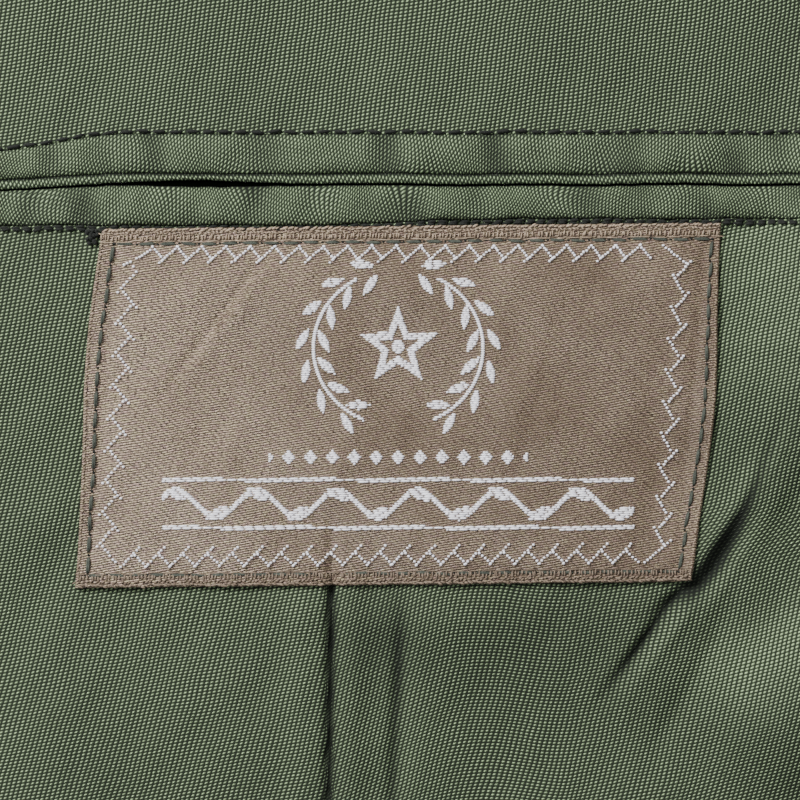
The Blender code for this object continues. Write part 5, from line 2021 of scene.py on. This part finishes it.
    def build_buttons(self, flap_top: float, loop: Pair) -> None:
        """Four buttons down the front, one on each flap and one on the loop.

        Args:
            flap_top: Height of a flap's top above the front in mm.
            loop: Own-side place of the loop's button.
        """
        for number, y in enumerate(CUT.button_heights, start=1):
            self.button(f"front_button_{number}", 0.0, y, CUT.closed_outer + CUT.seam, 11.5)
        for node, x, y, height in (("breast_flap_button", 153.0, -249.0, flap_top),
                                   ("skirt_flap_button", 152.0, -533.0, flap_top),
                                   ("loop_button", *loop, CUT.seam + self.loop_cloth)):
            lift = float(self.lift(np.array(x), np.array(y)))
            self.button(node, -x, y, CUT.closed_outer + lift + height + CUT.seam, 7.5)

    def build(self) -> None:
        """Make the front and everything on it."""
        self.build_shell()
        flap_top = self.build_pockets()
        self.build_buttons(flap_top, self.build_loop())


@dataclass
class Sleeve(WoolMaker):
    """One two-piece sleeve, flat but for its rounded edges and the folds at its elbow."""

    side: Side
    folds: tuple[Crease, ...]
    cloth: float = 1.8
    head: Pair = (196.0, -46.0)  # of the crown's middle, from the shoulder
    bend: float = 12.0  # bow of the inside seam
    fade: float = 8.0  # power of the armhole's fading
    seam: float = 0.1
    hem_at: float = 0.94  # share down the sleeve
    uv_length: float = 520.0
    flat: Pair = (235.0, 640.0)

    def plan(self, share: Array, along: Array) -> Array:
        """Plan of the sleeve: an outer quadratic curve over the head, an inner bowed line, straight
        lines between them, and the armhole's curve fading as (1 - along)^8.

        Args:
            share: Share across, 0 on the outer edge.
            along: Share down the sleeve.
        Returns:
            Own-side plan points.
        """
        angle = CUT.left_sleeve_angle if self.side is Side.LEFT else CUT.right_sleeve_angle
        down, across = sleeve_axes(angle)
        shoulder = np.array([CUT.shoulder_x + self.seam, -CUT.shoulder_drop])
        underarm = np.array([UNDERARM_X + self.seam, CUT.underarm_y])
        cuff_inner = underarm + CUT.sleeve_inside * down
        cuff_outer = cuff_inner + CUT.cuff * across
        n = along[..., None]
        crown = shoulder + np.array(self.head)
        outer = shoulder * (1 - n) ** 2 + 2.0 * crown * n * (1 - n) + cuff_outer * n * n
        inner = underarm + (cuff_inner - underarm) * n + self.bend * 4.0 * n * (1.0 - n) * across
        arm_y = -CUT.shoulder_drop + (CUT.underarm_y + CUT.shoulder_drop) * share
        chord = shoulder[0] + (underarm[0] - shoulder[0]) * share
        dip = (outline_x(arm_y) + self.seam - chord) * (1.0 - along) ** self.fade
        s = share[..., None]
        return outer * (1.0 - s) + inner * s + stack(dip, 0.0)

    def build(self) -> None:
        """Make the upper and under sleeve and the cuff's stitching."""
        below_head = near_ends(450.0, 74, 1.5)[4:] * 0.88 + 0.12
        along = np.concatenate([np.linspace(0.0, 0.12, 16)[:-1], below_head])
        along = np.unique(np.clip(along, 0.0, 1.0))
        width = CUT.bicep + (CUT.cuff - CUT.bicep) * along
        share = np.array([near_ends(w, 50, 9.0) for w in width])
        rows = along[:, None] + 0.0 * share
        plan = self.plan(share, rows)
        to_edge = np.minimum(share, 1.0 - share) * width[:, None]
        low = CUT.wool + CUT.seam
        inner = low + (CUT.closed_outer - CUT.wool - low) * soft_step(to_edge / CUT.edge_roll)
        x, y = plan[..., 0], plan[..., 1]
        keep = soft_step(to_edge / 14.0) * soft_step(rows / 0.12)
        crease = keep * (crease_height(self.folds, x, y) + 0.2 * ripple(x, y, 50.0, 8))
        place = mirrored if self.side is Side.RIGHT else np.asarray
        uv = stack((share - 0.5) * width[:, None], -rows * self.uv_length)
        name = self.side.name.lower()
        top = place(stack(x, y, inner + self.cloth + crease))
        self.wool(f"sleeve_upper_{name}", top, uv, self.cloth, self.flat,
                  rests_on=(f"sleeve_under_{name}_wool",), roll=1.7)
        hem = int(np.searchsorted(along, self.hem_at))
        self.topstitch(f"sleeve_hem_stitching_{name}", top[hem, 6:-6], 0.05)
        under = place(stack(x, y, self.cloth + 0.0 * x))
        self.wool(f"sleeve_under_{name}", under, uv, self.cloth - 0.05, self.flat,
                  rests_on=("floor",), roll=0.8)


# Collar, from the right gorge round the neck to the left end: seam, roll and free edge.
COLLAR_STATIONS = (
    # name,             seam x, y, z             roll x, y, z             edge x, y, z
    ("right end",       -118.5, -119.5,  8.8,    -133.0, -111.0,  9.4,    -162.0,  -97.0,  8.3),
    ("right gorge",      -95.0,  -81.0,  8.8,    -109.0,  -72.0, 12.0,    -151.0,  -58.0,  8.3),
    ("right roll",       -76.0,  -46.0,  8.8,     -86.0,  -38.0, 21.0,    -134.0,  -26.0,  8.4),
    ("right shoulder",   -70.0,  -20.0,  8.6,     -80.0,   -8.0, 28.0,    -128.0,   13.0,  3.0),
    ("right neck",       -67.0,   -1.0,  6.4,     -76.0,   11.0, 29.0,    -104.0,   51.0,  0.4),
    ("right back",       -42.0,   -7.4,  4.0,     -46.0,   12.0, 27.0,     -61.0,   66.0,  0.4),
    ("centre back",        0.0,  -12.0,  4.0,       0.0,   10.0, 24.0,      -2.0,   71.0,  0.4),
    ("left back",         40.0,   -8.6,  4.4,      42.0,   16.0, 18.0,      48.0,   75.0,  0.4),
    ("left neck",         80.0,   -0.4, 10.0,      81.0,   27.0, 14.5,      86.0,   78.5,  0.6),
    ("left turn",         98.8,   -7.5, 10.6,      99.5,   21.0, 12.6,     104.0,   75.0,  0.6),
    ("left shoulder",    116.8,  -13.9, 10.7,     117.5,   16.0, 11.4,     122.0,   71.0,  0.7),
    ("left gorge",       160.0,  -15.7, 10.7,     163.0,   12.0, 10.4,     169.0,   65.0,  0.8),
    ("left end",         204.0,  -16.6, 10.7,     208.0,   10.0, 10.2,     221.0,   56.0,  0.8),
)


@dataclass
class Collar(WoolMaker):
    """Upper and under collar, one surface from the right gorge round the neck to the left end."""

    cloth: float = 1.5
    spread: float = 0.75  # power that spaces places across
    width: float = 75.0
    station: float = 46.0  # cloth between two stations

    def surface(self, along: Array, across: Array) -> Array:
        """Quadratic curve from seam over a crest to the free edge, at across^0.75.

        Args:
            along: Station number, whole or between.
            across: 0 at the seam, 1 at the free edge.
        Returns:
            Points of the collar's underside.
        """
        table = np.array([row[1:] for row in COLLAR_STATIONS])
        number = np.arange(len(table))
        read = np.stack([smooth_table(along, number, table[:, k]) for k in range(9)], axis=-1)
        seam, roll, edge = read[..., 0:3], read[..., 3:6], read[..., 6:9]
        crest = 2.0 * roll - 0.5 * (seam + edge)
        weight = (across ** self.spread)[..., None]
        return seam * (1 - weight) ** 2 + 2 * crest * weight * (1 - weight) + edge * weight ** 2

    def layer(self, along: Array, across: Array, height: Array) -> Array:
        """The surface moved out along its normals by height mm.

        Args:
            along: Station number, whole or between.
            across: 0 at the seam, 1 at the free edge.
            height: Distance out in mm.
        Returns:
            Points in mm.
        """
        step, last = 1e-3, len(COLLAR_STATIONS) - 1.0
        ahead = self.surface(np.minimum(along + step, last), across)
        behind = self.surface(np.maximum(along - step, 0.0), across)
        out = self.surface(along, np.minimum(across + step, 1.0))
        back = self.surface(along, np.maximum(across - step, 0.0))
        normal = unit(np.cross(ahead - behind, out - back))
        normal *= np.sign(normal[..., 2:3].mean())
        return self.surface(along, across) + height[..., None] * normal

    def build(self) -> None:
        """Make both layers and the stitching along the free edge."""
        last = len(COLLAR_STATIONS) - 1.0
        along = (near_ends(500.0, 120, 2.0) * last)[:, None]
        across = np.concatenate([np.linspace(0.0, 0.02, 4), near_ends(75.0, 34, 1.5)[5:]])[None, :]
        along, across = np.broadcast_arrays(along, across)
        wide, far = across * self.width, along * self.station
        uv = stack(wide, far)
        wave = 0.2 * ripple(far, wide, 40.0, 14) * soft_step(across * 3.0)
        under = self.layer(along, across, self.cloth + 0.0 * across)
        self.wool("collar_under", under, uv, self.cloth, (75.0, 520.0), held="folded",
                  rests_on=("front_right_wool",))
        upper = self.layer(along, across, 2.0 * self.cloth + CUT.seam + 0.2 + wave)
        self.wool("collar_upper", upper, uv, self.cloth, (85.0, 520.0), held="folded",
                  rests_on=("collar_under_wool",), roll=0.9)
        self.topstitch("collar_stitching", seam_path(upper[:, -1], upper[:, -6], EDGE_INSET), 0.1)


# Sleeve folds, in own-side x and y: low on the left, whose upper half is under the turned front.
LEFT_SLEEVE_CREASES = creases(
    (470.0, -300.0, 395.0, -345.0, 10.0, 2.4, 14.0),
    (520.0, -360.0, 455.0, -395.0, 11.0, 3.4),
    (545.0, -400.0, 470.0, -420.0, 9.0, 2.6, 12.0),
    (500.0, -335.0, 430.0, -376.0, 6.0, -1.2, 9.0),
    (590.0, -440.0, 560.0, -520.0, 12.0, 2.2),
    (548.0, -452.0, 520.0, -548.0, 9.0, 1.8, 14.0),
)
RIGHT_SLEEVE_CREASES = creases(
    (300.0, -80.0, 335.0, -240.0, 15.0, 3.2, 20.0),
    (262.0, -110.0, 282.0, -215.0, 9.0, 2.2, 13.0),
    (420.0, -300.0, 330.0, -330.0, 10.0, 4.4, 14.0),
    (445.0, -345.0, 345.0, -372.0, 9.0, 3.6, 12.0),
    (436.0, -322.0, 350.0, -350.0, 6.0, -1.4, 8.0),
    (440.0, -395.0, 370.0, -400.0, 11.0, 3.0),
    (350.0, -250.0, 300.0, -290.0, 9.0, 3.0),
    (470.0, -430.0, 500.0, -560.0, 13.0, 2.6, 18.0),
    (418.0, -450.0, 440.0, -590.0, 10.0, 2.0, 14.0),
)


# --- stage, light and camera ---


LIGHTS = (
    # name, metres along the label, up it and above it, side in metres, power in watts
    ("key softbox", -0.46, 0.44, 0.55, 0.30, 9.5),
    ("wide softbox", -1.1, 1.0, 1.6, 1.0, 22.0),
    ("fill softbox", 0.9, -0.3, 1.5, 1.6, 7.0),
)


@dataclass
class Studio:
    """Pale floor, soft lights and the camera straight over the label."""

    front: TurnedFront
    view_wide: float = 117.0  # width of the view at the label
    distance: float = 900.0
    floor_reach: float = 9000.0
    floor_z: float = -0.3
    aim: Pair = (0.26, 0.77)  # along and up the label
    room: float = 0.25
    sensor: float = 36.0

    def floor(self) -> None:
        """A wide pale floor just under the coat."""
        corners = ((-1.0, -1.0), (1.0, -1.0), (1.0, 1.0), (-1.0, 1.0))
        points = np.array([(self.floor_reach * x, self.floor_reach * y, self.floor_z)
                           for x, y in corners])
        mesh = mesh_of("floor", points, np.array([[0, 1, 2, 3]]))
        g = Graph("pale matt floor")
        # Painted board, off-white and matt: a quiet ground that throws soft light back.
        grain = g.add("TexNoise", {"Vector": g.add("TexCoord", out="Object"), "Scale": 40.0,
                                   "Detail": 4.0})
        colour = g.add("Mix RGBA", {0: grain, 6: linear("D4D2CD"), 7: linear("DBD9D5")}, 2)
        mesh.materials.append(g.dress(grain, 0.01, Base_Color=colour, Roughness=0.75))
        stage = bpy.data.objects.new("floor", mesh)
        bpy.context.scene.collection.objects.link(stage)

    @staticmethod
    def aimed(name: str, data: Any, where: Array, target: Array, up: Array) -> Piece:
        """Put a lamp or camera at a point, looking at a target with a given up.

        Args:
            name: Its name.
            data: Its light or camera data.
            where: Its place in metres.
            target: What it looks at.
            up: Direction that is up in its view.
        Returns:
            The lamp or camera.
        """
        back = unit(where - target)
        right = unit(np.cross(up, back))
        matrix = np.eye(4)
        matrix[:3] = np.stack([right, np.cross(back, right), back, where], axis=1)
        thing = bpy.data.objects.new(name, data)
        thing.matrix_world = Matrix(matrix.tolist())
        bpy.context.scene.collection.objects.link(thing)
        return thing

    def build(self) -> None:
        """Make floor, lights and camera."""
        right, up = (np.append(direction, 0.0) for direction in (self.front.right, self.front.up))
        target = (self.front.lining_point(*map(np.array, self.aim), 1.0) + CENTRE_SHIFT) * MM
        self.floor()
        world = bpy.data.worlds.new("soft room")
        world.use_nodes = True
        colour, strength = world.node_tree.nodes["Background"].inputs[:2]
        colour.default_value, strength.default_value = linear("DDE0E4"), self.room
        bpy.context.scene.world = world
        for name, along, beyond, above, size, power in LIGHTS:
            where = target + along * right + beyond * up + above * UPWARDS
            lamp = bpy.data.lights.new(name, "AREA")
            lamp.size, lamp.energy = size, power
            self.aimed(name, lamp, where, target, np.array([0.0, 1.0, 0.0]))
        data = bpy.data.cameras.new("camera")
        data.sensor_width = self.sensor
        data.lens = self.sensor * self.distance / self.view_wide
        data.clip_end = 50.0
        where = target + self.distance * MM * UPWARDS
        bpy.context.scene.camera = self.aimed("camera", data, where, target, up)


def main() -> None:
    """Dress the coat, piece by piece, and light it."""
    logging.basicConfig(level=logging.INFO, format="%(message)s")
    finishes = Finishes.make()
    front = TurnedFront()
    Body(finishes).build()
    RightFront(finishes).build()
    Sleeve(finishes, Side.LEFT, LEFT_SLEEVE_CREASES).build()
    Sleeve(finishes, Side.RIGHT, RIGHT_SLEEVE_CREASES).build()
    Collar(finishes).build()
    FrontLining(front, finishes).build()
    InsidePocket(front, finishes).build()
    Label(front, finishes).build()
    Studio(front).build()


if __name__ == "__main__":
    main()
